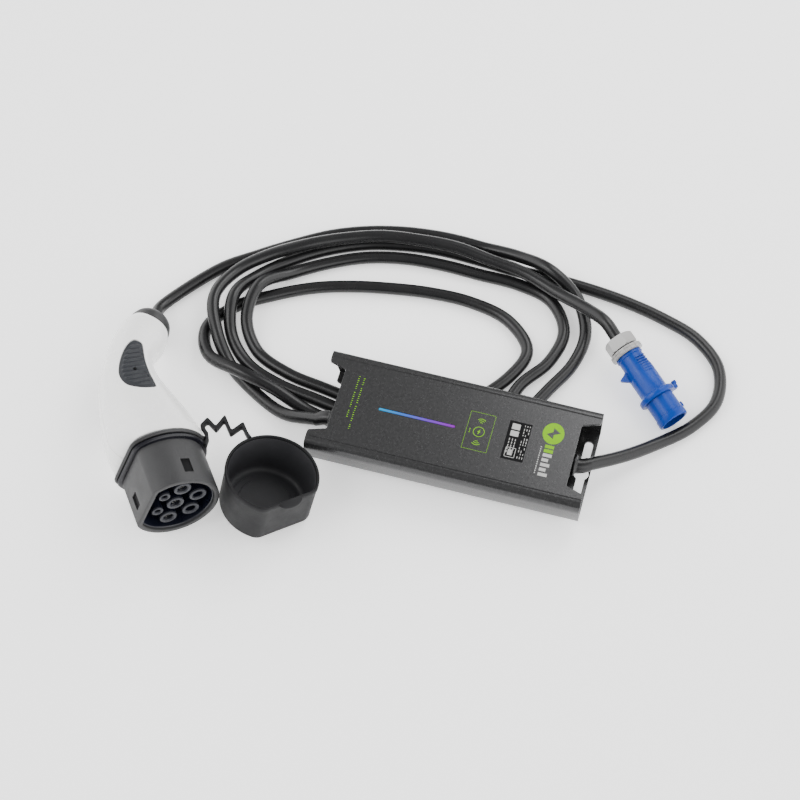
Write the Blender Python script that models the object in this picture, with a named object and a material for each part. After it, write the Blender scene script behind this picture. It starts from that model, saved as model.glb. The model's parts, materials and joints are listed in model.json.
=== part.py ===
"""Portable electric-vehicle charger: a vehicle connector with its dust cap, a control box and an
industrial plug, joined by two cables that lie in a loose coil on the floor.

Units are metres, +Z is up, the floor is z = 0 and X runs along the control box.
"""
import math

import bmesh
import bpy
from mathutils import Matrix, Vector

# Fits shared by every sub-part
FIT = 0.0003                # gap between pieces that touch
ROUND = 40                  # sides of a large round piece
SMALL_ROUND = 20            # sides of a small round piece

# Cables
CORD_DIAMETER = 0.0096
CORD_SIDES = 2              # bevel resolution of a cable's tube
CORD_BEND = 0.030           # length that one radian of bend counts for when points are spaced
VEHICLE_CORD_POINTS = 84
SUPPLY_CORD_POINTS = 19

# The route of the vehicle cable in millimetres, from the control box once round to the right,
# three times over the coil and out to the handle
VEHICLE_ROUTE = [
    (149, -28, 22), (172, -10, 14), (193, 10, 7), (214, 31, 5), (228, 57, 5), (224, 86, 5),
    (203, 107, 5), (175, 118, 5), (146, 125, 5), (117, 129, 5), (87, 131, 5), (57, 131, 5),
    (27, 133, 5), (-3, 134, 5), (-32, 131, 5), (-61, 124, 5), (-89, 111, 5), (-113, 94, 5),
    (-133, 72, 8), (-143, 46, 17), (-137, 18, 9), (-117, -3, 5), (-89, -14, 5), (-59, -19, 5),
    (-30, -24, 5), (-1, -28, 5), (29, -28, 5), (58, -20, 5), (75, 4, 5), (84, 33, 5),
    (100, 58, 5), (105, 87, 5), (89, 111, 5), (61, 119, 5), (31, 120, 5), (1, 121, 5),
    (-29, 119, 5), (-58, 112, 5), (-85, 99, 5), (-109, 82, 7), (-127, 60, 17), (-129, 32, 11),
    (-113, 9, 5), (-85, -3, 5), (-56, -8, 5), (-26, -13, 5), (3, -16, 5), (32, -9, 5),
    (53, 10, 5), (74, 37, 5), (82, 64, 5), (61, 86, 5), (30, 94, 5), (-2, 94, 5),
    (-32, 90, 5), (-61, 84, 5), (-89, 75, 5), (-116, 61, 5), (-141, 44, 5), (-157, 20, 5.6),
    (-147, -6, 11), (-120, -16, 16), (-92, -22, 13), (-63, -30, 6), (-34, -35, 5), (-4, -40, 5),
    (26, -41, 5), (55, -37, 5), (79, -20, 5), (92, 7, 5), (105, 34, 5), (118, 61, 5),
    (121, 90, 5.4), (108, 116, 10), (83, 131, 17), (56, 141, 10), (27, 145, 5), (-3, 146, 5),
    (-33, 143, 5), (-62, 136, 5), (-89, 125, 5), (-115, 109, 5), (-139, 92, 5), (-165, 71, 5)]

# The route of the supply cable, from the plug's nut over the coil to the control box
SUPPLY_ROUTE = [
    (146, 80, 23.8), (134, 91, 26.4), (118, 101, 22), (94, 112, 17), (67, 123, 16), (38, 128, 16),
    (9, 132, 17), (-20, 131, 17), (-49, 127, 17), (-77, 117, 17), (-103, 104, 17),
    (-129, 89, 14), (-149, 69, 13), (-157, 41, 17), (-146.5, 13.5, 13.6), (-129, -8, 5.2),
    (-105, -25, 5), (-79, -38, 8), (-52, -42, 19)]

# The middle of the floor area under everything but the cables and the plug: it is the origin
MIDDLE = (-0.0321, -0.0749)

# Control box: an extruded housing that lies on the cables
BOX_CENTRE = (0.0493, -0.0313)
BOX_LENGTH = 0.204
BOX_WIDTH = 0.082
SIDE_LEAN = 0.0030           # the base is narrower by this much on each side
SHOULDER_WIDTH = 0.0067      # from the widest line in to the flat lid
BOX_BASE_WIDTH = BOX_WIDTH - 2 * SIDE_LEAN
BOX_TOP_FLAT = BOX_WIDTH - 2 * SHOULDER_WIDTH
BOX_HEIGHT = 0.027
BOX_WIDEST = 0.019          # height of the widest line of the side
BOX_WALL = 0.0022
SEAT_STEP = 0.0003          # the ends are bored this much wider for the plates
BOX_LIFT = CORD_DIAMETER + 2 * FIT
TRIM_LINE = 0.0004          # depth of the fine line along each shoulder
NOTCH_DEPTH = 0.0132
HORN_TIP = 0.0114            # width of a horn at its tip and at its root
HORN_ROOT = 0.0150
NOTCH_MOUTH = BOX_WIDTH - 2 * HORN_TIP
NOTCH_INNER = BOX_WIDTH - 2 * HORN_ROOT
HORN_CORNER = 0.0016
BASE_SETBACK = 0.0054       # how far the base stops short of the horns at the supply end
KEYHOLE_CENTRE = 0.0060     # from the end of the base
KEYHOLE_SLOT = 0.0060
KEYHOLE_EDGE = 0.0136        # from the widest line to each end of the slot
KEYHOLE_SPAN = BOX_WIDTH - 2 * KEYHOLE_EDGE
KEYHOLE_HEAD = 0.0110
CHANNEL_HEIGHT = 0.0135     # screw channels in the side walls
CHANNEL_RIB = 0.0030
CHANNEL_REACH = 0.0054
CHANNEL_BORE = 0.0013
CHANNEL_SLIT = 0.0006
BOARD_SLOT = 0.0050         # height of the board's slot above the base
BOARD_THICK = 0.0016
BOARD_RIB = 0.0012
BOARD_REACH = 0.0015
END_PLATE = 0.0030
END_SEAL = 0.0012
GLAND_HEIGHT = 0.0120
SUPPLY_GLAND_OFFSET = -0.0090
GLAND_BORE = 0.0062
GLAND_COLLAR = 0.0080
GLAND_FLANGE = 0.0090
GLAND_FLANGE_THICK = 0.0020
RELIEF_STEPS = 5
RELIEF_TIP = 0.0054
SCREW_SHANK = 0.0010
SCREW_HEAD = 0.0024
SCREW_HEAD_HEIGHT = 0.0016
SCREW_LENGTH = 0.0100
LIGHT_START = -0.0570       # the light bar's left end from the middle of the box
LIGHT_LENGTH = 0.0576
LIGHT_WIDTH = 0.0024
LIGHT_LIP = 0.0016
LIGHT_LIP_THICK = 0.0012

# Vehicle connector, in its own frame: +X out of the nose, +Z to the flat side, Y across
CONNECTOR_PLACE = (-0.1254, -0.1441)
CONNECTOR_HEIGHT = 0.0387
CONNECTOR_HEADING = -54.0
CONNECTOR_PITCH = 3.35
CONNECTOR_ROLL = 65.5
NOSE_RADIUS = 0.0318
NOSE_FLAT = 0.0245
NOSE_CORNER = 0.0080
NOSE_WALL = 0.0040
NOSE_RIM = 0.0030           # the rim stands this far in front of the towers
NOSE_BACK = -0.0340
WINDOW_LENGTH = 0.0116
WINDOW_WIDTH = 0.0070
WINDOW_PLACE = -0.0105
WINDOW_DEPTH = 0.0030
FLAT_WINDOW_SHIFT = -0.0080
SEAL_RING = 0.0030
SEAL_PROUD = 0.0032
TRIM_RING = 0.0032
TRIM_PROUD = 0.0044
CARRIER_FLOOR = 0.0040
CONTACT_PITCH = 0.0170
PILOT_ROW = 0.0111
TOWER_RADIUS = 0.0064
TOWER_BORE = 0.0036
PILOT_RADIUS = 0.0043
PILOT_BORE = 0.0021
CONTACT_WALL = 0.0009
CONTACT_RECESS = 0.0030
HANDLE_WALL = 0.0026
HANDLE_PROUD = 0.0026       # the handle's flat stands this far past the nose's flat
HANDLE_SEAT = 0.0160        # length over which the handle takes on the flat of the nose
COLLAR_LENGTH = 0.0142
COLLAR_SKIRT = 0.0060
COLLAR_LEAD = 0.0200         # the cable leaves the collar straight for this length
PAD_DEPTH = 0.0014
PAD_PROUD = 0.0004

# Dust cap, in its own frame: +Z out of the cup, +Y to the flat side
CAP_PLACE = (-0.0708, -0.1136)
CAP_HEADING = -44.0         # direction of the flat side
CAP_TILT = 15.3
CAP_RISE = 0.0086           # height of the middle of the closed end
CAP_LEAN = 55.0             # direction that the mouth leans to
CAP_DEPTH = 0.0380
CAP_WALL = 0.0015
CAP_CLEAR = 0.0004
CAP_TAPER = 0.0004          # how much narrower the closed end is, on the radius
TAB_WIDTH = 0.0190
TAB_REACH = 0.0050
TAB_THICK = 0.0022
STRAP_THICK = 0.0024
STRAP_HEIGHT = 0.0065
STRAP_LEVEL = 0.0430        # height of the middle of the strap above the floor

# Industrial plug, in its own frame: +X towards the pins
PLUG_LENGTH = 0.0760
PLUG_BODY = 0.0108
PLUG_NECK = 0.0098
PLUG_FLANGE = 0.0145
PLUG_SLEEVE = 0.0112
PLUG_WALL = 0.0017
PLUG_SLEEVE_LENGTH = 0.0200
NUT_ACROSS = 0.0205
NUT_LENGTH = 0.0095
NUT_RING = 0.0128
NUT_RING_LENGTH = 0.0050
PIN_RADIUS = 0.0016
PIN_CIRCLE = 0.0056
PIN_LENGTH = 0.0130


# Helpers

def clear_scene():
    """Remove every object, so that the script also runs from an open file."""
    for old in list(bpy.data.objects):
        bpy.data.objects.remove(old, do_unlink=True)


def material(name, colour, roughness, metallic=0.0):
    found = bpy.data.materials.get(name)
    if found:
        return found
    made = bpy.data.materials.new(name)
    made.use_nodes = True
    shader = made.node_tree.nodes["Principled BSDF"]
    shader.inputs["Base Color"].default_value = (*colour, 1.0)
    shader.inputs["Roughness"].default_value = roughness
    shader.inputs["Metallic"].default_value = metallic
    made.diffuse_color = (*colour, 1.0)
    return made


def dark_aluminium():
    return material("dark_aluminium", (0.070, 0.070, 0.073), 0.42, 0.8)


def white_shell():
    return material("white_shell", (0.86, 0.86, 0.85), 0.35)


def grey_plastic():
    return material("grey_plastic", (0.085, 0.085, 0.087), 0.45)


def slate_rubber():
    return material("slate_rubber", (0.058, 0.061, 0.068), 0.65)


def black_rubber():
    return material("black_rubber", (0.018, 0.018, 0.019), 0.55)


def black_plastic():
    return material("black_plastic", (0.012, 0.012, 0.013), 0.5)


def blue_plastic():
    return material("blue_plastic", (0.014, 0.095, 0.42), 0.38)


def pale_plastic():
    return material("pale_plastic", (0.56, 0.56, 0.54), 0.5)


def plated_metal():
    return material("plated_metal", (0.72, 0.72, 0.70), 0.28, 1.0)


def board_green():
    return material("board_green", (0.02, 0.12, 0.05), 0.5)


def copper():
    return material("copper", (0.72, 0.35, 0.18), 0.35, 1.0)


def light_window():
    return material("light_window", (0.25, 0.45, 0.90), 0.3)


def on_floor(x, y, z):
    """A place that was measured from the picture's centre, as seen from the origin."""
    return Vector((x - MIDDLE[0], y - MIDDLE[1], z))


def frame_at(name, place, heading=0.0, pitch=0.0, roll=0.0):
    """An empty that carries a sub-assembly: heading about Z, then pitch up, then roll about X."""
    empty = bpy.data.objects.new(name, None)
    bpy.context.scene.collection.objects.link(empty)
    turn = (Matrix.Rotation(math.radians(heading), 4, "Z")
            @ Matrix.Rotation(math.radians(-pitch), 4, "Y")
            @ Matrix.Rotation(math.radians(roll), 4, "X"))
    empty.matrix_world = Matrix.Translation(place) @ turn
    return empty


def add_object(name, bm, parent, look, smooth=35.0):
    bmesh.ops.recalc_face_normals(bm, faces=bm.faces)
    mesh = bpy.data.meshes.new(name)
    bm.to_mesh(mesh)
    bm.free()
    if smooth:
        mesh.shade_smooth()
        mesh.set_sharp_from_angle(angle=math.radians(smooth))
    made = bpy.data.objects.new(name, mesh)
    bpy.context.scene.collection.objects.link(made)
    made.parent = parent
    if look:
        mesh.materials.append(look)
    return made


def loft(rings, closed=False):
    """Skin rings of points of one count; the ends are capped unless the loft closes on itself."""
    bm = bmesh.new()
    loops = [[bm.verts.new(point) for point in ring] for ring in rings]
    pairs = list(zip(loops, loops[1:]))
    if closed:
        pairs.append((loops[-1], loops[0]))
    for near, far in pairs:
        for i in range(len(near)):
            j = (i + 1) % len(near)
            bm.faces.new((near[i], near[j], far[j], far[i]))
    if not closed:
        bm.faces.new(loops[0])
        bm.faces.new(list(reversed(loops[-1])))
    return bm


def prism(outline, start, end, axis="Z"):
    """Extrude a flat outline between two heights. The outline's two numbers are the other axes."""
    place = {"X": lambda a, b, h: (h, a, b),
             "Y": lambda a, b, h: (a, h, b),
             "Z": lambda a, b, h: (a, b, h)}[axis]
    return loft([[place(a, b, h) for a, b in outline] for h in (start, end)])


def turned(profile, sides, axis="X"):
    """Turn a profile of (along, radius) points. A profile that starts and ends on the axis is
    solid; one that stays off it is closed into a ring."""
    solid = profile[0][1] == 0.0
    bm = bmesh.new()
    rings = []
    for along, radius in profile:
        if radius == 0.0:
            rings.append([bm.verts.new(turned_point(along, 0.0, 0.0, axis))])
        else:
            rings.append([bm.verts.new(turned_point(along, radius, 2 * math.pi * i / sides, axis))
                          for i in range(sides)])
    pairs = list(zip(rings, rings[1:]))
    if not solid:
        pairs.append((rings[-1], rings[0]))
    for near, far in pairs:
        for i in range(sides):
            j = (i + 1) % sides
            if len(near) == 1:
                bm.faces.new((near[0], far[j], far[i]))
            elif len(far) == 1:
                bm.faces.new((near[i], near[j], far[0]))
            else:
                bm.faces.new((near[i], near[j], far[j], far[i]))
    return bm


def turned_point(along, radius, angle, axis):
    a, b = radius * math.cos(angle), radius * math.sin(angle)
    return {"X": (along, a, b), "Y": (a, along, b), "Z": (a, b, along)}[axis]


def block(low, high, bevel=0.0):
    """A block between two corners, with rounded edges where a bevel is given."""
    bm = bmesh.new()
    bmesh.ops.create_cube(bm, size=1.0)
    for vert in bm.verts:
        vert.co = Vector([lo + (c + 0.5) * (hi - lo) for c, lo, hi in zip(vert.co, low, high)])
    if bevel:
        bmesh.ops.bevel(bm, geom=list(bm.edges), offset=bevel, segments=2, profile=0.5,
                        affect="EDGES")
    return bm


def boolean(target, other, operation="DIFFERENCE"):
    """Cut, join or intersect with another object, which stays in the file as a guide."""
    other.hide_render = True
    other.display_type = "WIRE"
    step = target.modifiers.new(other.name, "BOOLEAN")
    step.operation = operation
    step.solver = "EXACT"
    step.object = other
    return target


def cut(target, name, bm):
    return boolean(target, add_object(name, bm, target.parent, None, smooth=0.0))


def together(pieces):
    """Several separate solids in one mesh, so that one Boolean cuts or joins them all."""
    whole = bmesh.new()
    for piece in pieces:
        mesh = bpy.data.meshes.new("piece")
        bmesh.ops.recalc_face_normals(piece, faces=piece.faces)
        piece.to_mesh(mesh)
        piece.free()
        whole.from_mesh(mesh)
        bpy.data.meshes.remove(mesh)
    return whole


def round_outline(radius, sides, centre=(0.0, 0.0)):
    """A circle whose sides, not corners, face along the axes."""
    turns = [2 * math.pi * (i + 0.5) / sides for i in range(sides)]
    return [(centre[0] + radius * math.cos(t), centre[1] + radius * math.sin(t)) for t in turns]


def route_points(route):
    """A route in metres, as seen from the origin."""
    return [on_floor(x / 1000, y / 1000, z / 1000) for x, y, z in route]


def smooth_curve(route, count):
    """Read points from a smooth curve through the route, closer together where it bends. The
    first and the last stretch stay straight, where the cable leaves its gland or its nut, and no
    point sinks into the floor."""
    fine = []
    for i in range(1, len(route) - 2):
        p0, p1, p2, p3 = route[i - 1:i + 3]
        for k in range(24):
            t = k / 24
            fine.append(0.5 * (2 * p1 + (p2 - p0) * t + (2 * p0 - 5 * p1 + 4 * p2 - p3) * t ** 2
                               + (3 * p1 - p0 - 3 * p2 + p3) * t ** 3))
    fine.append(route[-2])
    along = [0.0]
    for i in range(1, len(fine)):
        step = fine[i] - fine[i - 1]
        bend = step.angle(fine[i - 1] - fine[i - 2]) if i > 1 else 0.0
        along.append(along[-1] + step.length + CORD_BEND * bend)
    points = [route[0]]
    j = 0
    for i in range(count - 2):
        want = along[-1] * i / (count - 3)
        while j < len(fine) - 2 and along[j + 1] < want:
            j += 1
        point = fine[j].lerp(fine[j + 1], (want - along[j]) / (along[j + 1] - along[j]))
        points.append(Vector((point.x, point.y, max(point.z, CORD_DIAMETER / 2 + FIT / 2))))
    return points + [route[-1]]


def build_cable(name, route, count):
    """A cable as a round tube on a curve read through its route."""
    data = bpy.data.curves.new(name, "CURVE")
    data.dimensions = "3D"
    data.bevel_depth = CORD_DIAMETER / 2
    data.bevel_resolution = CORD_SIDES
    data.use_fill_caps = True
    even = smooth_curve(route, count)
    spline = data.splines.new("POLY")
    spline.points.add(len(even) - 1)
    for slot, point in zip(spline.points, even):
        slot.co = (*point, 1.0)
    data.materials.append(black_rubber())
    made = bpy.data.objects.new(name, data)
    bpy.context.scene.collection.objects.link(made)
    return made


# Control box

def side_at(height, wall):
    """Half width of the lower flank, inside by the wall, at a height above the base."""
    share = min(height / BOX_WIDEST, 1.0)
    return BOX_BASE_WIDTH / 2 + share * (BOX_WIDTH - BOX_BASE_WIDTH) / 2 - wall


def shoulder(wall, steps=7):
    """The rounded upper side, from the top flat down to the widest line."""
    points = []
    for i in range(steps + 1):
        turn = math.radians(90 * i / steps)
        across = math.sin(turn) ** 0.75
        up = math.cos(turn) ** 0.75 if i < steps else 0.0
        half = BOX_TOP_FLAT / 2 + TRIM_LINE
        points.append((half + (BOX_WIDTH / 2 - wall - half) * across,
                       BOX_WIDEST + (BOX_HEIGHT - wall - BOX_WIDEST) * up))
    return points


def mirrored(half):
    """Close a half outline, given from the top to the base, over the middle."""
    return half + [(-y, z) for y, z in reversed(half)]


def housing_outline():
    line = BOX_TOP_FLAT / 2
    corner = 0.0012
    half = [(line - TRIM_LINE, BOX_HEIGHT), (line, BOX_HEIGHT - TRIM_LINE)]
    half += shoulder(0.0)
    half += [(side_at(corner * 2, 0.0), corner * 2), (side_at(0.0, 0.0) - corner * 0.3, corner * 0.5),
             (side_at(0.0, 0.0) - corner, 0.0)]
    return mirrored(half)


def plain_bore(shrink=0.0):
    """The inside of the housing without its channels, smaller by a clearance."""
    wall = BOX_WALL + shrink
    half = shoulder(wall)
    half += [(side_at(wall, wall), wall)]
    return mirrored(half)


def channel_centre():
    return side_at(CHANNEL_HEIGHT, BOX_WALL) - CHANNEL_REACH / 2 - CHANNEL_SLIT / 2


def housing_bore():
    """The inside of the housing with a screw channel and a board slot in each side wall."""
    z, rib, wall = CHANNEL_HEIGHT, CHANNEL_RIB, BOX_WALL
    lip = side_at(z, wall) - CHANNEL_REACH
    half = shoulder(wall)
    half += [(side_at(z + rib, wall), z + rib), (lip, z + rib), (lip, z + CHANNEL_SLIT)]
    for angle in (150, 90, 30, -30, -90, -150):
        turn = math.radians(angle)
        half.append((channel_centre() + CHANNEL_BORE * math.cos(turn), z + CHANNEL_BORE * math.sin(turn)))
    half += [(lip, z - CHANNEL_SLIT), (lip, z - rib), (side_at(z - rib, wall), z - rib)]
    low = BOARD_SLOT
    high = BOARD_SLOT + BOARD_THICK + 2 * FIT
    for top, outward in ((high + BOARD_RIB, False), (high, True), (low, False), (low - BOARD_RIB, True)):
        edge = side_at(top, wall)
        steps = [(edge, top), (edge - BOARD_REACH, top)]
        half += list(reversed(steps)) if outward else steps
    half.append((side_at(wall, wall), wall))
    return mirrored(half)


def notch_outline(end, grow=0.0):
    """Seen from above: the gap between the two horns, which flares outwards."""
    inner, mouth = NOTCH_INNER / 2, NOTCH_MOUTH / 2
    root = BOX_LENGTH / 2 - NOTCH_DEPTH
    tip = BOX_LENGTH / 2
    corner = HORN_CORNER
    slope = (mouth - inner) / NOTCH_DEPTH
    right = [(root, 0.0), (root, inner - corner), (root + corner * 0.3, inner - corner * 0.3),
             (root + corner, inner + slope * corner),
             (tip - corner, mouth - slope * corner), (tip - corner * 0.3, mouth + corner * 0.3),
             (tip, mouth + corner), (tip + corner, mouth + 2 * corner), (tip + corner, 0.0)]
    whole = right[1:-1] + [(x, -y) for x, y in reversed(right[1:-1])]
    return [(end * (x + grow), y) for x, y in whole]


def slot_outline(length, width, centre, sides=8):
    """An upright slot with round ends, along Y."""
    points = []
    for start, shift in ((0.0, length / 2 - width / 2), (180.0, width / 2 - length / 2)):
        for i in range(sides + 1):
            turn = math.radians(start + 180 * i / sides)
            points.append((centre + width / 2 * math.cos(turn), shift + width / 2 * math.sin(turn)))
    return points


def build_housing(box):
    half = BOX_LENGTH / 2
    over = 0.005
    housing = add_object("housing", prism(housing_outline(), -half, half, "X"), box, dark_aluminium())
    cut(housing, "bore_cutter", prism(housing_bore(), -half - over, half + over, "X"))
    seat = plate_face() - END_PLATE - END_SEAL - 2 * FIT
    for end, name in ((1, "right"), (-1, "left")):
        near, far = sorted((end * seat, end * (half + over)))
        cut(housing, f"seat_cutter_{name}", prism(plain_bore(-SEAT_STEP), near, far, "X"))
    cut(housing, "vehicle_notch_cutter", prism(notch_outline(1), BOX_WALL + TRIM_LINE, BOX_HEIGHT + over))
    cut(housing, "supply_notch_cutter", prism(notch_outline(-1), -over, BOX_HEIGHT + over))
    wedge = [(-half - over, -over), (-half + BASE_SETBACK, -over), (-half + BASE_SETBACK, 0.0),
             (-half, BOX_WIDEST - 2 * TRIM_LINE), (-half - over, BOX_WIDEST - 2 * TRIM_LINE)]
    cut(housing, "setback_cutter", prism(wedge, -BOX_WIDTH, BOX_WIDTH, "Y"))
    keyhole = half - KEYHOLE_CENTRE
    cut(housing, "keyhole_slot_cutter",
        prism(slot_outline(KEYHOLE_SPAN, KEYHOLE_SLOT, keyhole), -over, BOX_WALL + 2 * TRIM_LINE))
    head = round_outline(KEYHOLE_HEAD / 2, SMALL_ROUND, (keyhole - TRIM_LINE, 0.0))
    cut(housing, "keyhole_head_cutter", prism(head, -over, BOX_WALL + 2 * TRIM_LINE))
    light = slot_outline(LIGHT_LENGTH, LIGHT_WIDTH, 0.0, 6)
    light = [(LIGHT_START + LIGHT_LENGTH / 2 + y, x) for x, y in light]
    cut(housing, "light_slot_cutter", prism(light, BOX_HEIGHT - 2 * BOX_WALL, BOX_HEIGHT + over))


def plate_face():
    """Distance of an end plate's outer face from the middle of the box."""
    return BOX_LENGTH / 2 - NOTCH_DEPTH - FIT


def gland_offset(side):
    return SUPPLY_GLAND_OFFSET if side == "supply" else 0.0


def build_end(box, end, side):
    """An end plate with its seal and its two screws."""
    face = plate_face()
    plate_back = face - END_PLATE
    seal_face = plate_back - FIT
    seal_back = seal_face - END_SEAL
    for name, near, far, look in (("end_plate", plate_back, face, black_plastic()),
                                  ("end_seal", seal_back, seal_face, black_rubber())):
        low, high = sorted((end * near, end * far))
        piece = add_object(f"{name}_{side}", prism(plain_bore(FIT), low, high, "X"), box, look)
        low, high = sorted((end * (near - 0.001), end * (far + 0.001)))
        hole = round_outline(GLAND_BORE + FIT, SMALL_ROUND, (gland_offset(side), GLAND_HEIGHT))
        cut(piece, f"{name}_bore_{side}", prism(hole, low, high, "X"))
        for hand, sign in (("far", 1), ("near", -1)):
            hole = round_outline(SCREW_SHANK + FIT, 12, (sign * channel_centre(), CHANNEL_HEIGHT))
            cut(piece, f"{name}_{hand}_hole_{side}", prism(hole, low, high, "X"))
    for hand, sign in (("far", 1), ("near", -1)):
        build_end_screw(box, end, face + FIT, sign, f"end_screw_{side}_{hand}")


def build_gland(box, end, side, route):
    """The cable gland in an end plate: a flange inside, a collar outside and a soft relief that
    bends towards the cable, whose route starts at its tip."""
    face = plate_face() + FIT
    back = plate_face() - END_PLATE - END_SEAL - 2 * FIT
    middle = Vector((0.0, gland_offset(side), GLAND_HEIGHT))
    start, onward = [point - on_floor(*BOX_CENTRE, BOX_LIFT) for point in route[:2]]
    heading = (onward - start).normalized()
    tip = start - heading * FIT
    straight = [(back - GLAND_FLANGE_THICK, GLAND_FLANGE), (back, GLAND_FLANGE), (back, GLAND_BORE),
                (face, GLAND_BORE), (face, GLAND_COLLAR), (face + 0.0018, GLAND_COLLAR),
                (face + 0.0026, GLAND_BORE)]
    rings = []
    for along, radius in straight:
        rings.append(ring_at(middle + Vector((end * along, 0.0, 0.0)), Vector((end, 0.0, 0.0)), radius))
    base = middle + Vector((end * straight[-1][0], 0.0, 0.0))
    reach = (tip - base).length
    lead = base + Vector((end * reach * 0.4, 0.0, 0.0))
    for i in range(1, RELIEF_STEPS + 1):
        t = i / RELIEF_STEPS
        spot = base * (1 - t) ** 2 + lead * 2 * t * (1 - t) + tip * t * t
        aim = ((lead - base) * (1 - t) + (tip - lead) * t) if i < RELIEF_STEPS else heading
        rings.append(ring_at(spot, aim, GLAND_BORE + (RELIEF_TIP - GLAND_BORE) * t))
    add_object(f"cable_gland_{side}", loft(rings), box, black_rubber())


def ring_at(centre, direction, radius, sides=SMALL_ROUND):
    """A ring of points round a direction, with its first point to the side."""
    aim = direction.normalized()
    across = Vector((0.0, 0.0, 1.0)).cross(aim).normalized()
    up = aim.cross(across)
    return [centre + (across * math.cos(turn) + up * math.sin(turn)) * radius
            for turn in (2 * math.pi * i / sides for i in range(sides))]


def build_end_screw(box, end, seat, sign, name):
    profile = [(seat + SCREW_HEAD_HEIGHT, 0.0), (seat + SCREW_HEAD_HEIGHT, SCREW_HEAD * 0.7),
               (seat + SCREW_HEAD_HEIGHT * 0.6, SCREW_HEAD), (seat, SCREW_HEAD), (seat, SCREW_SHANK),
               (seat - SCREW_LENGTH, SCREW_SHANK), (seat - SCREW_LENGTH, 0.0)]
    screw = add_object(name, turned([(end * x, r) for x, r in profile], 12), box, plated_metal())
    screw.location = (0.0, sign * channel_centre(), CHANNEL_HEIGHT)


def build_light_bar(box):
    """A light guide that fills the slot in the top, with its board under it."""
    lip_top = BOX_HEIGHT - BOX_WALL - FIT
    middle = LIGHT_START + LIGHT_LENGTH / 2
    steps = []
    for grow, z in ((LIGHT_LIP, lip_top - LIGHT_LIP_THICK), (LIGHT_LIP, lip_top),
                    (-FIT, lip_top), (-FIT, BOX_HEIGHT)):
        outline = slot_outline(LIGHT_LENGTH + 2 * grow, LIGHT_WIDTH + 2 * grow, 0.0, 6)
        steps.append([(middle + y, x, z) for x, y in outline])
    add_object("light_bar", loft(steps), box, light_window())
    top = lip_top - LIGHT_LIP_THICK - FIT
    board = add_object("light_board", block((middle - 0.031, -0.005, top - 0.0012),
                                            (middle + 0.031, 0.005, top)), box, board_green())
    foot = BOARD_SLOT + BOARD_THICK + 2 * FIT
    for i, x in enumerate((middle - 0.027, middle + 0.027)):
        header = block((x - 0.003, -0.0025, foot), (x + 0.003, 0.0025, top - 0.0006))
        boolean(board, add_object(f"light_header_guide_{i}", header, box, None, 0.0), "UNION")


def build_electronics(box):
    """The circuit board in its slots and the parts that stand on it."""
    low = BOARD_SLOT + FIT
    edge = side_at(BOARD_SLOT - BOARD_RIB, BOX_WALL) - FIT
    inner = plate_face() - END_PLATE - END_SEAL - GLAND_FLANGE_THICK - 4 * FIT
    reach = inner - 0.006
    add_object("main_board", block((-reach, -edge, low), (reach, edge, low + BOARD_THICK)), box,
               board_green())
    top = low + BOARD_THICK + FIT
    lid = BOX_HEIGHT - BOX_WALL
    for i, y in enumerate((-0.013, 0.013)):
        relay = block((reach - 0.0490, y - 0.0080, top), (reach - 0.0200, y + 0.0080, lid - 0.0036),
                      0.0008)
        add_object(f"relay_{i + 1}", relay, box, black_plastic())
    module = block((0.0010 - inner, 0.0090 - edge, top), (0.0170 - inner, -0.0045, lid - 0.0056),
                   0.0008)
    add_object("supply_module", module, box, black_plastic())
    ring = [(top, 0.0055), (top, 0.0105), (top + 0.0015, 0.0120), (top + 0.0075, 0.0120),
            (top + 0.0090, 0.0105), (top + 0.0090, 0.0055)]
    coil = add_object("residual_current_coil", turned(ring, SMALL_ROUND, "Z"), box, copper())
    coil.location = (inner - 0.0111, -0.012, 0.0)
    for i, x in enumerate((-reach + 0.010, reach - 0.012)):
        name = ("supply_terminals", "vehicle_terminals")[i]
        shape = block((x - 0.0045, edge - 0.0271, top), (x + 0.0045, edge - 0.0061, top + 0.0090))
        terminal = add_object(name, shape, box, pale_plastic())
        for k in range(3):
            y = edge - 0.0236 + 0.007 * k
            hole = round_outline(0.0020, 12, (y, top + 0.0040))
            cut(terminal, f"terminal_hole_{i}_{k}", prism(hole, x - 0.006, x + 0.006, "X"))


def build_control_box():
    box = frame_at("control_box_frame", on_floor(*BOX_CENTRE, BOX_LIFT))
    build_housing(box)
    for end, side, route in ((1, "vehicle", route_points(VEHICLE_ROUTE)),
                             (-1, "supply", route_points(SUPPLY_ROUTE)[::-1])):
        build_end(box, end, side)
        build_gland(box, end, side, route)
    build_light_bar(box)
    build_electronics(box)


# Vehicle connector

def d_outline(grow=0.0, sides=30):
    """The nose's outline as (y, z): a circle with one flat at the top and rounded corners."""
    radius, flat, corner = NOSE_RADIUS + grow, NOSE_FLAT + grow, NOSE_CORNER + max(grow, -0.003)
    centre_z = flat - corner
    centre_y = math.sqrt((radius - corner) ** 2 - centre_z ** 2)
    join = math.atan2(centre_z, centre_y)
    points = []
    for i in range(5):
        turn = math.pi / 2 + (join - math.pi / 2) * i / 4
        points.append((centre_y + corner * math.cos(turn), centre_z + corner * math.sin(turn)))
    sweep = math.pi + 2 * join
    for i in range(1, sides):
        turn = join - sweep * i / sides
        points.append((radius * math.cos(turn), radius * math.sin(turn)))
    points += [(-y, z) for y, z in reversed(points[:5])]
    return points


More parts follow.
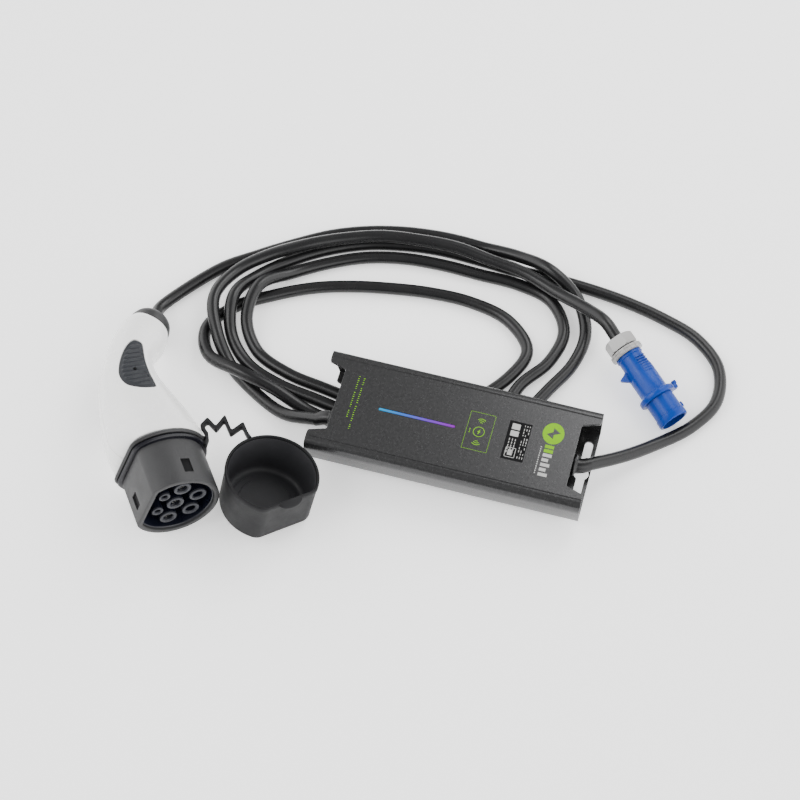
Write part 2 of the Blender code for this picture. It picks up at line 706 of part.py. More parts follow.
def build_nose(connector):
    """The shroud with its lock windows, and the two rings between it and the handle."""
    shroud = add_object("nose_shroud", prism(d_outline(), NOSE_BACK, NOSE_RIM, "X"), connector,
                        grey_plastic())
    cut(shroud, "nose_bore", prism(d_outline(-NOSE_WALL), NOSE_BACK - 0.01, NOSE_RIM + 0.01, "X"))
    reach = NOSE_RADIUS + 0.01
    half = WINDOW_WIDTH / 2
    near, far = WINDOW_PLACE - WINDOW_LENGTH / 2, WINDOW_PLACE + WINDOW_LENGTH / 2
    deep = WINDOW_DEPTH
    shift = FLAT_WINDOW_SHIFT
    cut(shroud, "flat_window", block((near, shift - half, NOSE_FLAT - deep), (far, shift + half, reach)))
    for sign, side in ((1, "left"), (-1, "right")):
        low, high = sorted((sign * (NOSE_RADIUS - deep), sign * reach))
        cut(shroud, f"{side}_window", block((near, low, -0.0020 - half), (far, high, -0.0020 + half)))
    place = NOSE_BACK - FIT
    for name, thick, proud, look in (("flange_seal", SEAL_RING, SEAL_PROUD, black_rubber()),
                                     ("flange_ring", TRIM_RING, TRIM_PROUD, grey_plastic())):
        soft = thick * 0.25
        rings = [[(x, y, z) for y, z in d_outline(grow)]
                 for x, grow in ((place, proud - soft), (place - soft, proud),
                                 (place - thick + soft, proud), (place - thick, proud - soft))]
        ring = add_object(name, loft(rings), connector, look)
        cut(ring, f"{name}_bore",
            prism(d_outline(-NOSE_WALL), place - thick - 0.01, place + 0.01, "X"))
        place -= thick + FIT
    return place


def contact_places():
    """Name, y, z, tower radius and bore of the seven places, and whether it holds a contact."""
    side, row = CONTACT_PITCH / 2, CONTACT_PITCH * math.sqrt(3) / 2
    return [("earth", 0.0, 0.0, TOWER_RADIUS, TOWER_BORE, True),
            ("line", CONTACT_PITCH, 0.0, TOWER_RADIUS, TOWER_BORE, True),
            ("neutral", -CONTACT_PITCH, 0.0, TOWER_RADIUS, TOWER_BORE, True),
            ("spare_left", side, -row, TOWER_RADIUS, TOWER_BORE, False),
            ("spare_right", -side, -row, TOWER_RADIUS, TOWER_BORE, False),
            ("pilot", side, PILOT_ROW, PILOT_RADIUS, PILOT_BORE, True),
            ("proximity", -side, PILOT_ROW, PILOT_RADIUS, PILOT_BORE, True)]


def build_contacts(connector):
    """One moulded carrier with seven towers, and a sleeve contact in each tower that is used."""
    floor_back = NOSE_BACK - SEAL_RING - TRIM_RING - 2 * FIT
    floor = floor_back + CARRIER_FLOOR
    base = prism(d_outline(-NOSE_WALL - FIT), floor_back, floor, "X")
    carrier = add_object("contact_carrier", base, connector, black_plastic())
    towers, bores = [], []
    for name, y, z, radius, bore, used in contact_places():
        tower = [(floor_back + 0.001, radius), (-0.0006, radius), (0.0, radius - 0.0006)]
        towers.append(loft([[(x, *spot) for spot in round_outline(r, SMALL_ROUND, (y, z))]
                            for x, r in tower]))
        back = floor_back - 0.001 if used else floor
        bores.append(prism(round_outline(bore, 16, (y, z)), back, 0.01, "X"))
    boolean(carrier, add_object("tower_guides", together(towers), connector, None, 0.0), "UNION")
    cut(carrier, "tower_bores", together(bores))
    for name, y, z, radius, bore, used in contact_places():
        if used:
            outer, inner = bore - 2 * FIT, bore - 2 * FIT - CONTACT_WALL
            sleeve = [(-CONTACT_RECESS, inner), (-CONTACT_RECESS, outer), (floor_back - 0.008, outer),
                      (floor_back - 0.008, 0.0), (floor_back + 0.004, 0.0), (floor_back + 0.004, inner)]
            contact = add_object(f"contact_{name}", turned_cup(sleeve, 16), connector, plated_metal())
            contact.location = (0.0, y, z)


def turned_cup(profile, sides):
    """Turn a cup: the profile runs from the mouth's inner edge over the outside to the axis, and
    back from the axis up the bore."""
    middle = [i for i, point in enumerate(profile) if point[1] == 0.0]
    order = profile[middle[1]:] + profile[:middle[0] + 1]
    return turned(order, sides)


def handle_stations():
    """Middle line of the handle: x, z, half height, half thickness, and lean of each section."""
    return [(-0.0415, -0.0003, 0.0345, 0.0335, 0.0),
            (-0.0435, -0.0002, 0.0345, 0.0333, 0.0),
            (-0.0460, -0.0001, 0.0345, 0.0331, 0.0),
            (-0.0500, 0.0000, 0.0344, 0.0325, 0.0),
            (-0.0620, 0.0004, 0.0330, 0.0300, 1.0),
            (-0.0780, 0.0012, 0.0300, 0.0262, 2.0),
            (-0.0930, 0.0020, 0.0262, 0.0232, 5.0),
            (-0.1060, 0.0018, 0.0226, 0.0212, 10.0),
            (-0.1180, -0.0008, 0.0194, 0.0198, 17.0),
            (-0.1290, -0.0051, 0.0177, 0.0190, 25.0),
            (-0.1386, -0.0118, 0.0181, 0.0185, 32.0),
            (-0.1464, -0.0191, 0.0190, 0.0181, 38.0),
            (-0.1530, -0.0249, 0.0183, 0.0176, 41.0),
            (-0.1582, -0.0293, 0.0160, 0.0162, 42.0)]


def handle_section(station, grow, count=12):
    """Half of one section of the handle, from its top over one flank to its bottom. Towards the
    nose the top gets flat, as the nose is."""
    x, z, high, wide, lean = station
    slant = math.radians(lean)
    flat = NOSE_FLAT + HANDLE_PROUD + grow
    share = max(0.0, 1.0 - (handle_stations()[0][0] - x) / HANDLE_SEAT) ** 2
    points = []
    for i in range(count + 1):
        turn = math.pi * i / count
        up = math.cos(turn)
        out = math.sin(turn)
        power = 0.86
        rise = math.copysign(abs(up) ** power, up) * (high + grow)
        side = abs(out) ** power * (wide + grow) if 0 < i < count else 0.0
        if rise > 0.0:
            rise += share * (rise / (1.0 + (rise / flat) ** 8) ** 0.125 - rise)
        points.append((x - rise * math.sin(slant), side, z + rise * math.cos(slant)))
    return points


def handle_solid(grow):
    """The whole handle as one solid, larger or smaller by grow."""
    rings = []
    for station in handle_stations():
        half = handle_section(station, grow)
        rings.append(half + [(x, -y, z) for x, y, z in reversed(half[1:-1])])
    return loft(rings)


def handle_half(sign):
    """One shell of the handle: outside, inside and the rim on which the two shells meet."""
    bm = bmesh.new()
    split = FIT / 2
    skins = []
    for grow in (0.0, -HANDLE_WALL):
        skin = []
        for station in handle_stations():
            row = [bm.verts.new((x, sign * max(y, split), z))
                   for x, y, z in handle_section(station, grow)]
            skin.append(row)
        skins.append(skin)
    outer, inner = skins
    for skin in skins:
        for near, far in zip(skin, skin[1:]):
            for i in range(len(near) - 1):
                bm.faces.new((near[i], near[i + 1], far[i + 1], far[i]))
    for edge in (0, -1):
        for k in range(len(outer) - 1):
            bm.faces.new((outer[k][edge], outer[k + 1][edge], inner[k + 1][edge], inner[k][edge]))
    for end in (0, -1):
        for i in range(len(outer[end]) - 1):
            bm.faces.new((outer[end][i], outer[end][i + 1], inner[end][i + 1], inner[end][i]))
    return bm


def pad_outline():
    """The grip pad seen from the flank, as (x, z)."""
    return [(-0.1350, -0.0050), (-0.1333, -0.0088), (-0.1300, -0.0102), (-0.1215, -0.0086),
            (-0.1125, -0.0072), (-0.1015, -0.0064), (-0.0895, -0.0062), (-0.0868, -0.0045),
            (-0.0863, 0.0020), (-0.0875, 0.0080), (-0.0910, 0.0136), (-0.0965, 0.0160),
            (-0.1040, 0.0160), (-0.1125, 0.0132), (-0.1230, 0.0076), (-0.1310, 0.0012)]


def grown_outline(points, grow):
    """Push each corner of an outline outwards along its bisector."""
    middle = Vector((sum(p[0] for p in points), sum(p[1] for p in points))) / len(points)
    made = []
    for point in points:
        away = (Vector(point) - middle).normalized()
        made.append(tuple(Vector(point) + away * grow))
    return made


def build_handle(connector):
    for sign, side in ((1, "left"), (-1, "right")):
        shell = add_object(f"handle_shell_{side}", handle_half(sign), connector, white_shell())
        near, far = sorted((sign * 0.004, sign * 0.045))
        recess = add_object(f"pad_recess_{side}", prism(grown_outline(pad_outline(), FIT), near, far, "Y"),
                            connector, None, 0.0)
        floor = add_object(f"pad_floor_{side}", handle_solid(-PAD_DEPTH - FIT), connector, None, 0.0)
        boolean(recess, floor)
        boolean(shell, recess)
        pad = add_object(f"grip_pad_{side}", prism(pad_outline(), near, far, "Y"), connector,
                         slate_rubber())
        skin = add_object(f"pad_skin_{side}", handle_solid(PAD_PROUD), connector, None, 0.0)
        boolean(pad, skin, "INTERSECT")
        inside = add_object(f"pad_inside_{side}", handle_solid(-PAD_DEPTH), connector, None, 0.0)
        boolean(pad, inside)


def collar_frame():
    """Place and lean of the cable's way out of the handle."""
    x, z, high, wide, lean = handle_stations()[-1]
    return Vector((x, 0.0, z)), math.radians(lean)


def build_collar(connector):
    """The grey bend relief on the end of the handle, with a skirt inside the shells."""
    place, lean = collar_frame()
    high, wide = handle_stations()[-1][2:4]
    inner = min(high, wide) - HANDLE_WALL - FIT
    rings = []
    for along, tall, broad in ((-COLLAR_SKIRT, inner, inner), (FIT, inner, inner), (FIT, high, wide),
                               (COLLAR_LENGTH * 0.35, high, wide),
                               (COLLAR_LENGTH * 0.65, high * 0.92, wide * 0.91),
                               (COLLAR_LENGTH * 0.88, high * 0.74, wide * 0.72),
                               (COLLAR_LENGTH, high * 0.50, wide * 0.48)):
        turns = [2 * math.pi * i / 24 for i in range(24)]
        rings.append([(-along, broad * math.sin(t), tall * math.cos(t)) for t in turns])
    collar = add_object("cable_collar", loft(rings), connector, grey_plastic())
    collar.location = place
    collar.rotation_euler = (0.0, -lean, 0.0)


def vehicle_route():
    """The vehicle cable's route in metres, with its last stretch straight out of the collar."""
    place, lean = collar_frame()
    aim = Vector((-math.cos(lean), 0.0, -math.sin(lean)))
    matrix = bpy.data.objects["connector_frame"].matrix_world
    ends = [matrix @ (place + aim * (COLLAR_LENGTH + reach)) for reach in (COLLAR_LEAD, FIT)]
    return route_points(VEHICLE_ROUTE) + ends


def build_connector():
    connector = frame_at("connector_frame", on_floor(*CONNECTOR_PLACE, CONNECTOR_HEIGHT),
                         CONNECTOR_HEADING, CONNECTOR_PITCH, CONNECTOR_ROLL)
    build_nose(connector)
    build_contacts(connector)
    build_handle(connector)
    build_collar(connector)


# Dust cap

def cap_outline(grow):
    """The cap's outline, with the flat side to +Y."""
    return d_outline(CAP_CLEAR + grow)


def strap_line():
    """The folds of the strap seen from above in millimetres, from the ring to the cup's wall."""
    return [(-119.5, -94.0), (-119.4, -88.0), (-125.4, -82.2), (-122.8, -76.4), (-114.8, -81.8),
            (-111.4, -71.8), (-103.4, -82.2), (-97.2, -73.4), (-92.4, -79.6), (-88.9, -82.6)]


def band(line, thick):
    """A band of even thickness along a line, as one closed outline."""
    line = [Vector(point) for point in line]
    left, right = [], []
    for i, point in enumerate(line):
        before = (point - line[i - 1]).normalized() if i else (line[1] - point).normalized()
        after = (line[i + 1] - point).normalized() if i < len(line) - 1 else before
        across = (before + after).normalized().orthogonal()
        reach = thick / 2 / max(0.45, across.dot(before.orthogonal()))
        left.append(point + across * reach)
        right.append(point - across * reach)
    return [tuple(point) for point in left + right[::-1]]


def build_cap():
    """The rubber cup with its pull tab and the folded strap, whose foot ends on the ring of the
    connector."""
    connector = bpy.data.objects["connector_frame"]
    cap = frame_at("cap_frame", on_floor(*CAP_PLACE, CAP_RISE))
    lean = math.radians(CAP_LEAN)
    tilt = Matrix.Rotation(math.radians(CAP_TILT), 4, Vector((-math.sin(lean), math.cos(lean), 0.0)))
    cap.matrix_world = (cap.matrix_world @ tilt
                        @ Matrix.Rotation(math.radians(CAP_HEADING - 90.0), 4, "Z"))
    outside = [(0.0, CAP_WALL - CAP_TAPER - 0.0025), (0.0010, CAP_WALL - CAP_TAPER - 0.0008),
               (0.0034, CAP_WALL - CAP_TAPER), (CAP_DEPTH - 0.0012, CAP_WALL),
               (CAP_DEPTH, CAP_WALL - 0.0006)]
    inside = [(CAP_DEPTH + 0.005, 0.0004), (CAP_DEPTH - 0.0030, 0.0), (0.0045, -CAP_TAPER),
              (CAP_WALL, -CAP_TAPER - 0.0015)]
    cup = add_object("dust_cap", loft([[(x, y, h) for x, y in cap_outline(g)] for h, g in outside]),
                     cap, grey_plastic())
    flat = NOSE_FLAT + CAP_CLEAR
    turns = [math.pi * i / 10 for i in range(11)]
    tab = [(TAB_WIDTH / 2 * math.cos(t), flat + CAP_WALL - 0.0010 + TAB_REACH * math.sin(t) ** 0.7)
           for t in turns]
    tab_top = CAP_DEPTH - 0.0010
    boolean(cup, add_object("pull_tab_guide", prism(tab, tab_top - TAB_THICK, tab_top), cap, None, 0.0),
            "UNION")
    floor = frame_at("strap_frame", on_floor(0.0, 0.0, STRAP_LEVEL))
    folds = band([(x / 1000, y / 1000) for x, y in strap_line()], STRAP_THICK)
    strap = add_object("strap_guide", prism(folds, -STRAP_HEIGHT / 2, STRAP_HEIGHT / 2), floor, None, 0.0)
    ring = prism(d_outline(TRIM_PROUD + FIT), 2 * NOSE_BACK, NOSE_BACK, "X")
    boolean(strap, add_object("strap_foot_cutter", ring, connector, None, 0.0))
    boolean(cup, strap, "UNION")
    cut(cup, "cap_bore", loft([[(x, y, h) for x, y in cap_outline(g)] for h, g in inside]))


# Industrial plug

def build_plug():
    """The blue plug: nut, body with its flange and wing, sleeve, pin carrier and three pins."""
    start, onward = route_points(SUPPLY_ROUTE)[:2]
    aim = start - onward
    heading = math.degrees(math.atan2(aim.y, aim.x))
    pitch = math.degrees(math.atan2(aim.z, math.hypot(aim.x, aim.y)))
    plug = frame_at("plug_frame", start, heading, pitch)
    hexagon = [(NUT_ACROSS / 2 / math.cos(math.pi / 6) * math.cos(math.pi * (i + 0.5) / 3),
                NUT_ACROSS / 2 / math.cos(math.pi / 6) * math.sin(math.pi * (i + 0.5) / 3)) for i in range(6)]
    nut = add_object("gland_nut", prism(hexagon, FIT, FIT + NUT_LENGTH, "X"), plug, pale_plastic(), 20.0)
    place = NUT_LENGTH + 2 * FIT
    ring = [(place, 0.0), (place, NUT_RING - 0.0008), (place + 0.0008, NUT_RING),
            (place + NUT_RING_LENGTH, NUT_RING), (place + NUT_RING_LENGTH, 0.0)]
    add_object("gland_ring", turned(ring, 28), plug, pale_plastic())
    place += NUT_RING_LENGTH + FIT
    flange = PLUG_LENGTH - PLUG_SLEEVE_LENGTH - FIT
    profile = [(place, 0.0), (place, PLUG_NECK), (place + 0.010, PLUG_NECK), (place + 0.014, PLUG_BODY),
               (flange - 0.0045, PLUG_BODY), (flange - 0.0040, PLUG_FLANGE), (flange, PLUG_FLANGE),
               (flange, 0.0)]
    body = add_object("plug_body", turned(profile, 32), plug, blue_plastic())
    wing = [(0.026, 0.0), (0.034, 0.0), (0.034, -0.0125), (0.0305, -0.0168), (0.029, -0.0165)]
    boolean(body, add_object("wing_guide", prism(wing, -0.0012, 0.0012, "Z"), plug, None, 0.0), "UNION")
    start = flange + FIT
    sleeve = [(start, PLUG_SLEEVE - PLUG_WALL), (start, PLUG_SLEEVE), (PLUG_LENGTH - 0.0055, PLUG_SLEEVE),
              (PLUG_LENGTH - 0.0050, PLUG_SLEEVE + 0.0006), (PLUG_LENGTH - 0.0006, PLUG_SLEEVE + 0.0006),
              (PLUG_LENGTH, PLUG_SLEEVE), (PLUG_LENGTH, PLUG_SLEEVE - PLUG_WALL)]
    add_object("plug_sleeve", turned(sleeve, 32), plug, blue_plastic())
    hold = PLUG_SLEEVE - PLUG_WALL - FIT
    core = [(start, 0.0), (start, hold), (start + 0.006, hold), (start + 0.006, 0.0)]
    carrier = add_object("pin_carrier", turned(core, 24), plug, blue_plastic())
    places = [(PIN_CIRCLE * math.cos(math.radians(90 + 120 * i)),
               PIN_CIRCLE * math.sin(math.radians(90 + 120 * i))) for i in range(3)]
    cut(carrier, "pin_holes", together([prism(round_outline(PIN_RADIUS + FIT, 12, spot), start - 0.001,
                                              start + 0.010, "X") for spot in places]))
    pin_profile = [(start + 0.0006, 0.0), (start + 0.0006, PIN_RADIUS),
                   (start + PIN_LENGTH - 0.0008, PIN_RADIUS), (start + PIN_LENGTH, PIN_RADIUS - 0.0006),
                   (start + PIN_LENGTH, 0.0)]
    for i, (y, z) in enumerate(places):
        pin = add_object(f"pin_{i + 1}", turned(pin_profile, 12), plug, plated_metal())
        pin.location = (0.0, y, z)


def main():
    clear_scene()
    build_control_box()
    build_connector()
    build_cap()
    build_plug()
    build_cable("ev_cable", vehicle_route(), VEHICLE_CORD_POINTS)
    build_cable("supply_cable", route_points(SUPPLY_ROUTE), SUPPLY_CORD_POINTS)


main()
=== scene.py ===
import json
from math import atan2, copysign, cos, degrees, hypot, pi, radians, sin, sqrt

import bmesh
import bpy
from mathutils import Matrix, Vector
from mathutils.bvhtree import BVHTree


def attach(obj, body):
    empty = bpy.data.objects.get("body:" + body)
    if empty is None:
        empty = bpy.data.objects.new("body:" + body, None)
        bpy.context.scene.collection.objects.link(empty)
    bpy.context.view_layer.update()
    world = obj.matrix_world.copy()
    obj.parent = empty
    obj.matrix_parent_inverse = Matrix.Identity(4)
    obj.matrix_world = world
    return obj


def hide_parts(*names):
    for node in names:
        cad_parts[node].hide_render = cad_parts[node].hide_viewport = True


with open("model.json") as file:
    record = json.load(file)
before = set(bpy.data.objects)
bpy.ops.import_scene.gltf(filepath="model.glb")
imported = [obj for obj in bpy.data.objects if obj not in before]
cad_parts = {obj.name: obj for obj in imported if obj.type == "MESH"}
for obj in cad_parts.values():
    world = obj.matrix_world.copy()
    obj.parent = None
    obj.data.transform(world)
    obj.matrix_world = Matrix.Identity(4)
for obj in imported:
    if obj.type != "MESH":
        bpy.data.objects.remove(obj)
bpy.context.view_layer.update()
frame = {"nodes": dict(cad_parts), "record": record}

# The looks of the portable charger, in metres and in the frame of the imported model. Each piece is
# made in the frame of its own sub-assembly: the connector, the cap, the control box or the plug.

NODES = frame["nodes"]

# Sizes that the solids share
FIT = 0.0003
MIDDLE = (-0.0321, -0.0749)
CORD_DIAMETER = 0.0096
BOX_CENTRE = (0.0493, -0.0313)
BOX_LENGTH = 0.204
BOX_WIDTH = 0.082
BOX_BASE_WIDTH = 0.076
BOX_TOP_FLAT = 0.0686
BOX_HEIGHT = 0.027
BOX_WIDEST = 0.019
BOX_WALL = 0.0022
BOX_LIFT = CORD_DIAMETER + 2 * FIT
NOTCH_DEPTH = 0.0132
NOTCH_MOUTH = 0.0592
NOTCH_INNER = 0.0520
BASE_SETBACK = 0.0054
KEYHOLE_CENTRE = 0.0060
KEYHOLE_SLOT = 0.0060
KEYHOLE_SPAN = 0.0548
KEYHOLE_HEAD = 0.0110
LIGHT_START = -0.0570
LIGHT_LENGTH = 0.0576
LIGHT_WIDTH = 0.0024
GLAND_HEIGHT = 0.0120
GLAND_OFFSET = {"vehicle": 0.0, "supply": -0.0090}
NOSE_RADIUS = 0.0318
NOSE_FLAT = 0.0245
NOSE_CORNER = 0.0080
NOSE_WALL = 0.0040
NOSE_RIM = 0.0030
NOSE_BACK = -0.0340
WINDOW_LENGTH = 0.0116
WINDOW_WIDTH = 0.0070
WINDOW_PLACE = -0.0105
WINDOW_DEPTH = 0.0030
FLAT_WINDOW_SHIFT = -0.0080
SIDE_WINDOW_SHIFT = -0.0020
SEAL_RING, SEAL_PROUD = 0.0030, 0.0032
TRIM_RING, TRIM_PROUD = 0.0032, 0.0044
CONTACT_PITCH = 0.0170
PILOT_ROW = 0.0111
HANDLE_WALL = 0.0026
HANDLE_PROUD = 0.0026
HANDLE_SEAT = 0.0160
COLLAR_LENGTH = 0.0142
COLLAR_LEAD = 0.0200
CAP_DEPTH = 0.0380
CAP_WALL = 0.0015
CAP_CLEAR = 0.0004
CAP_TAPER = 0.0004
TAB_WIDTH = 0.0190
STRAP_THICK = 0.0024
STRAP_HEIGHT = 0.0065
STRAP_LEVEL = 0.0430
PRINT_LIFT = 0.00006
PLUG_LENGTH = 0.0760
PLUG_BODY = 0.0108
PLUG_NECK = 0.0098
PLUG_FLANGE = 0.0145
PLUG_SLEEVE = 0.0112
PLUG_WALL = 0.0017
PLUG_SLEEVE_LENGTH = 0.0200
NUT_ACROSS = 0.0205
NUT_LENGTH = 0.0095
NUT_RING = 0.0128
NUT_RING_LENGTH = 0.0050

# The photograph's camera: it looks at the middle of the picture from this height and distance
CAMERA_TURN = 15.207
CAMERA_HEIGHT = 60.5
CAMERA_DISTANCE = 1.650
CAMERA_LENS = 99.46
SENSOR_WIDTH = 36.0

# The studio
FLOOR_REACH, FLOOR_DEPTH, FLOOR_GLOW = 6.0, 0.02, 0.6
STUDIO_STRENGTH = 3.5

# The routes of the two cables in millimetres, as in the solids: x, y and the height, which is
# that of a cable on the floor where none is given
CABLE_LOW = 5
VEHICLE_ROUTE = [
    (149, -28, 22), (172, -10, 14), (193, 10, 7), (214, 31), (228, 57), (224, 86), (203, 107),
    (175, 118), (146, 125), (117, 129), (87, 131), (57, 131), (27, 133), (-3, 134), (-32, 131),
    (-61, 124), (-89, 111), (-113, 94), (-133, 72, 8), (-143, 46, 17), (-137, 18, 9), (-117, -3),
    (-89, -14), (-59, -19), (-30, -24), (-1, -28), (29, -28), (58, -20), (75, 4), (84, 33),
    (100, 58), (105, 87), (89, 111), (61, 119), (31, 120), (1, 121), (-29, 119), (-58, 112),
    (-85, 99), (-109, 82, 7), (-127, 60, 17), (-129, 32, 11), (-113, 9), (-85, -3), (-56, -8),
    (-26, -13), (3, -16), (32, -9), (53, 10), (74, 37), (82, 64), (61, 86), (30, 94), (-2, 94),
    (-32, 90), (-61, 84), (-89, 75), (-116, 61), (-141, 44), (-157, 20, 5.6), (-147, -6, 11),
    (-120, -16, 16), (-92, -22, 13), (-63, -30, 6), (-34, -35), (-4, -40), (26, -41), (55, -37),
    (79, -20), (92, 7), (105, 34), (118, 61), (121, 90, 5.4), (108, 116, 10), (83, 131, 17),
    (56, 141, 10), (27, 145), (-3, 146), (-33, 143), (-62, 136), (-89, 125), (-115, 109),
    (-139, 92), (-165, 71)]
SUPPLY_ROUTE = [
    (146, 80, 23.8), (134, 91, 26.4), (118, 101, 22), (94, 112, 17), (67, 123, 16), (38, 128, 16),
    (9, 132, 17), (-20, 131, 17), (-49, 127, 17), (-77, 117, 17), (-103, 104, 17), (-129, 89, 14),
    (-149, 69, 13), (-157, 41, 17), (-146.5, 13.5, 13.6), (-129, -8, 5.2), (-105, -25),
    (-79, -38, 8), (-52, -42, 19)]


# Frames

def on_floor(x, y, z):
    return Vector((x - MIDDLE[0], y - MIDDLE[1], z))


def frame_matrix(place, heading=0.0, pitch=0.0, roll=0.0):
    turn = (Matrix.Rotation(radians(heading), 4, "Z")
            @ Matrix.Rotation(radians(-pitch), 4, "Y")
            @ Matrix.Rotation(radians(roll), 4, "X"))
    return Matrix.Translation(place) @ turn


BOX = frame_matrix(on_floor(*BOX_CENTRE, BOX_LIFT))
CONNECTOR = frame_matrix(on_floor(-0.1254, -0.1441, 0.0387), -54.0, 3.35, 65.5)
CAP_LEAN = radians(55.0)
CAP = (frame_matrix(on_floor(-0.0708, -0.1136, 0.0086))
       @ Matrix.Rotation(radians(15.3), 4, Vector((-sin(CAP_LEAN), cos(CAP_LEAN), 0.0)))
       @ Matrix.Rotation(radians(-44.0 - 90.0), 4, "Z"))
PLUG_PLACE = on_floor(0.146, 0.08, 0.0238)
PLUG_AIM = PLUG_PLACE - on_floor(0.134, 0.091, 0.0264)
PLUG = frame_matrix(PLUG_PLACE, degrees(atan2(PLUG_AIM.y, PLUG_AIM.x)),
                    degrees(atan2(PLUG_AIM.z, hypot(PLUG_AIM.x, PLUG_AIM.y))))


# Materials

def adjust(made, **settings):
    """Set a node's properties and sockets by name, with _ for a space in a socket's name."""
    for key, value in settings.items():
        if hasattr(made, key):
            setattr(made, key, value)
        else:
            made.inputs[key.replace("_", " ")].default_value = value
    return made


def node(tree, kind, **settings):
    return adjust(tree.nodes.new("ShaderNode" + kind), **settings)


def wire(source, output, target, entry):
    source.id_data.links.new(source.outputs[output], target.inputs[entry])


def ramp_of(tree, stops):
    made = node(tree, "ValToRGB")
    colours = made.color_ramp.elements
    while len(colours) < len(stops):
        colours.new(0.5)
    for element, (place, colour) in zip(colours, stops):
        element.position = place
        element.color = (*colour, 1.0)
    return made


FINISHES = {}


def surface(name, colour, roughness, mottle, grain, specular=0.5, metallic=0.0, coat=0.0,
            mottle_size=0.012, grain_size=0.0009, rough_spread=0.06):
    """A moulded or finished surface: slow variation of colour and gloss, and a fine grain."""
    made = bpy.data.materials.new(f"{name}_finish")
    made.use_nodes = True
    tree = made.node_tree
    shader = tree.nodes["Principled BSDF"]
    adjust(shader, Metallic=metallic, Specular_IOR_Level=specular, Coat_Weight=coat,
           Coat_Roughness=0.18)
    place = node(tree, "TexCoord")
    slow = node(tree, "TexNoise", Scale=1.0 / mottle_size, Detail=4.0, Roughness=0.6)
    fine = node(tree, "TexNoise", Scale=1.0 / grain_size, Detail=2.0, Roughness=0.55)
    wire(place, "Object", slow, "Vector")
    wire(place, "Object", fine, "Vector")
    dark = tuple(c * (1.0 - mottle) for c in colour)
    pale = tuple(min(1.0, c * (1.0 + mottle)) for c in colour)
    tint = ramp_of(tree, [(0.25, dark), (0.5, colour), (0.75, pale)])
    both = node(tree, "Math", operation="MULTIPLY_ADD")
    both.inputs[1].default_value = 0.5
    half = node(tree, "Math", operation="MULTIPLY")
    half.inputs[1].default_value = 0.5
    wire(slow, "Fac", half, 0)
    wire(fine, "Fac", both, 0)
    wire(half, 0, both, 2)
    wire(both, 0, tint, "Fac")
    wire(tint, "Color", shader, "Base Color")
    gloss = node(tree, "MapRange", From_Min=0.3, From_Max=0.7,
                 To_Min=roughness - rough_spread, To_Max=roughness + rough_spread)
    wire(slow, "Fac", gloss, "Value")
    wire(gloss, "Result", shader, "Roughness")
    bump = node(tree, "Bump", Strength=grain, Distance=0.0004)
    wire(fine, "Fac", bump, "Height")
    wire(bump, "Normal", shader, "Normal")
    return made


# Each finish: colour, roughness, mottle, grain, specular level and settings of its own
FINISH_ROWS = {
    "dark_aluminium": ((0.056, 0.056, 0.057), 0.26, 0.32, 0.09, 0.4,
        dict(metallic=0.8, mottle_size=0.0022, grain_size=0.001, rough_spread=0.02)),
    "white_shell": ((0.84, 0.84, 0.83), 0.26, 0.02, 0.03, 0.5, dict(coat=0.2)),
    "grey_plastic": ((0.024, 0.024, 0.025), 0.42, 0.14, 0.14, 0.3, dict(grain_size=0.0007)),
    "nose_plastic": ((0.028, 0.028, 0.029), 0.46, 0.12, 0.16, 0.25, dict(grain_size=0.0007)),
    "grey_rubber": ((0.01, 0.01, 0.0108), 0.55, 0.16, 0.14, 0.14, {}),
    "strap_rubber": ((0.007, 0.007, 0.008), 0.52, 0.16, 0.12, 0.2, {}),
    "dark_rubber": ((0.017, 0.017, 0.019), 0.52, 0.2, 0.1, 0.25, {}),
    "seal_rubber": ((0.004, 0.004, 0.007), 0.3, 0.2, 0.05, 0.35, {}),
    "slate_rubber": ((0.0165, 0.018, 0.0215), 0.48, 0.15, 0.14, 0.25, dict(grain_size=0.0006)),
    "cable_rubber": ((0.008, 0.008, 0.0085), 0.27, 0.1, 0.05, 0.32,
        dict(mottle_size=0.02, grain_size=0.0012, rough_spread=0.03)),
    "black_rubber": ((0.005, 0.005, 0.0055), 0.5, 0.25, 0.12, 0.2, {}),
    "black_plastic": ((0.003, 0.003, 0.0035), 0.6, 0.2, 0.12, 0.1, {}),
    "navy_plastic": ((0.004, 0.005, 0.011), 0.3, 0.2, 0.05, 0.4, {}),
    # The towers' lips: a lighter copy of the carrier's navy, as painted highlight on the rims
    "tower_rim_highlight": ((0.022, 0.023, 0.029), 0.4, 0.15, 0.08, 0.25, {}),
    "blue_plastic": ((0.002, 0.033, 0.24), 0.28, 0.1, 0.06, 0.22, {}),
    "pale_plastic": ((0.29, 0.285, 0.28), 0.2, 0.06, 0.08, 0.55, {}),
    "plated_metal": ((0.7, 0.69, 0.66), 0.26, 0.08, 0.06, 0.5, dict(metallic=1.0)),
    "board_green": ((0.02, 0.12, 0.05), 0.45, 0.25, 0.08, 0.5, dict(mottle_size=0.004)),
    "copper": ((0.72, 0.35, 0.18), 0.35, 0.15, 0.3, 0.5, dict(metallic=1.0)),
    "lime_print": ((0.15, 0.36, 0.0), 0.6, 0.1, 0.06, 0.08, {}),
    "white_print": ((0.36, 0.36, 0.35), 0.55, 0.05, 0.06, 0.2, {})}


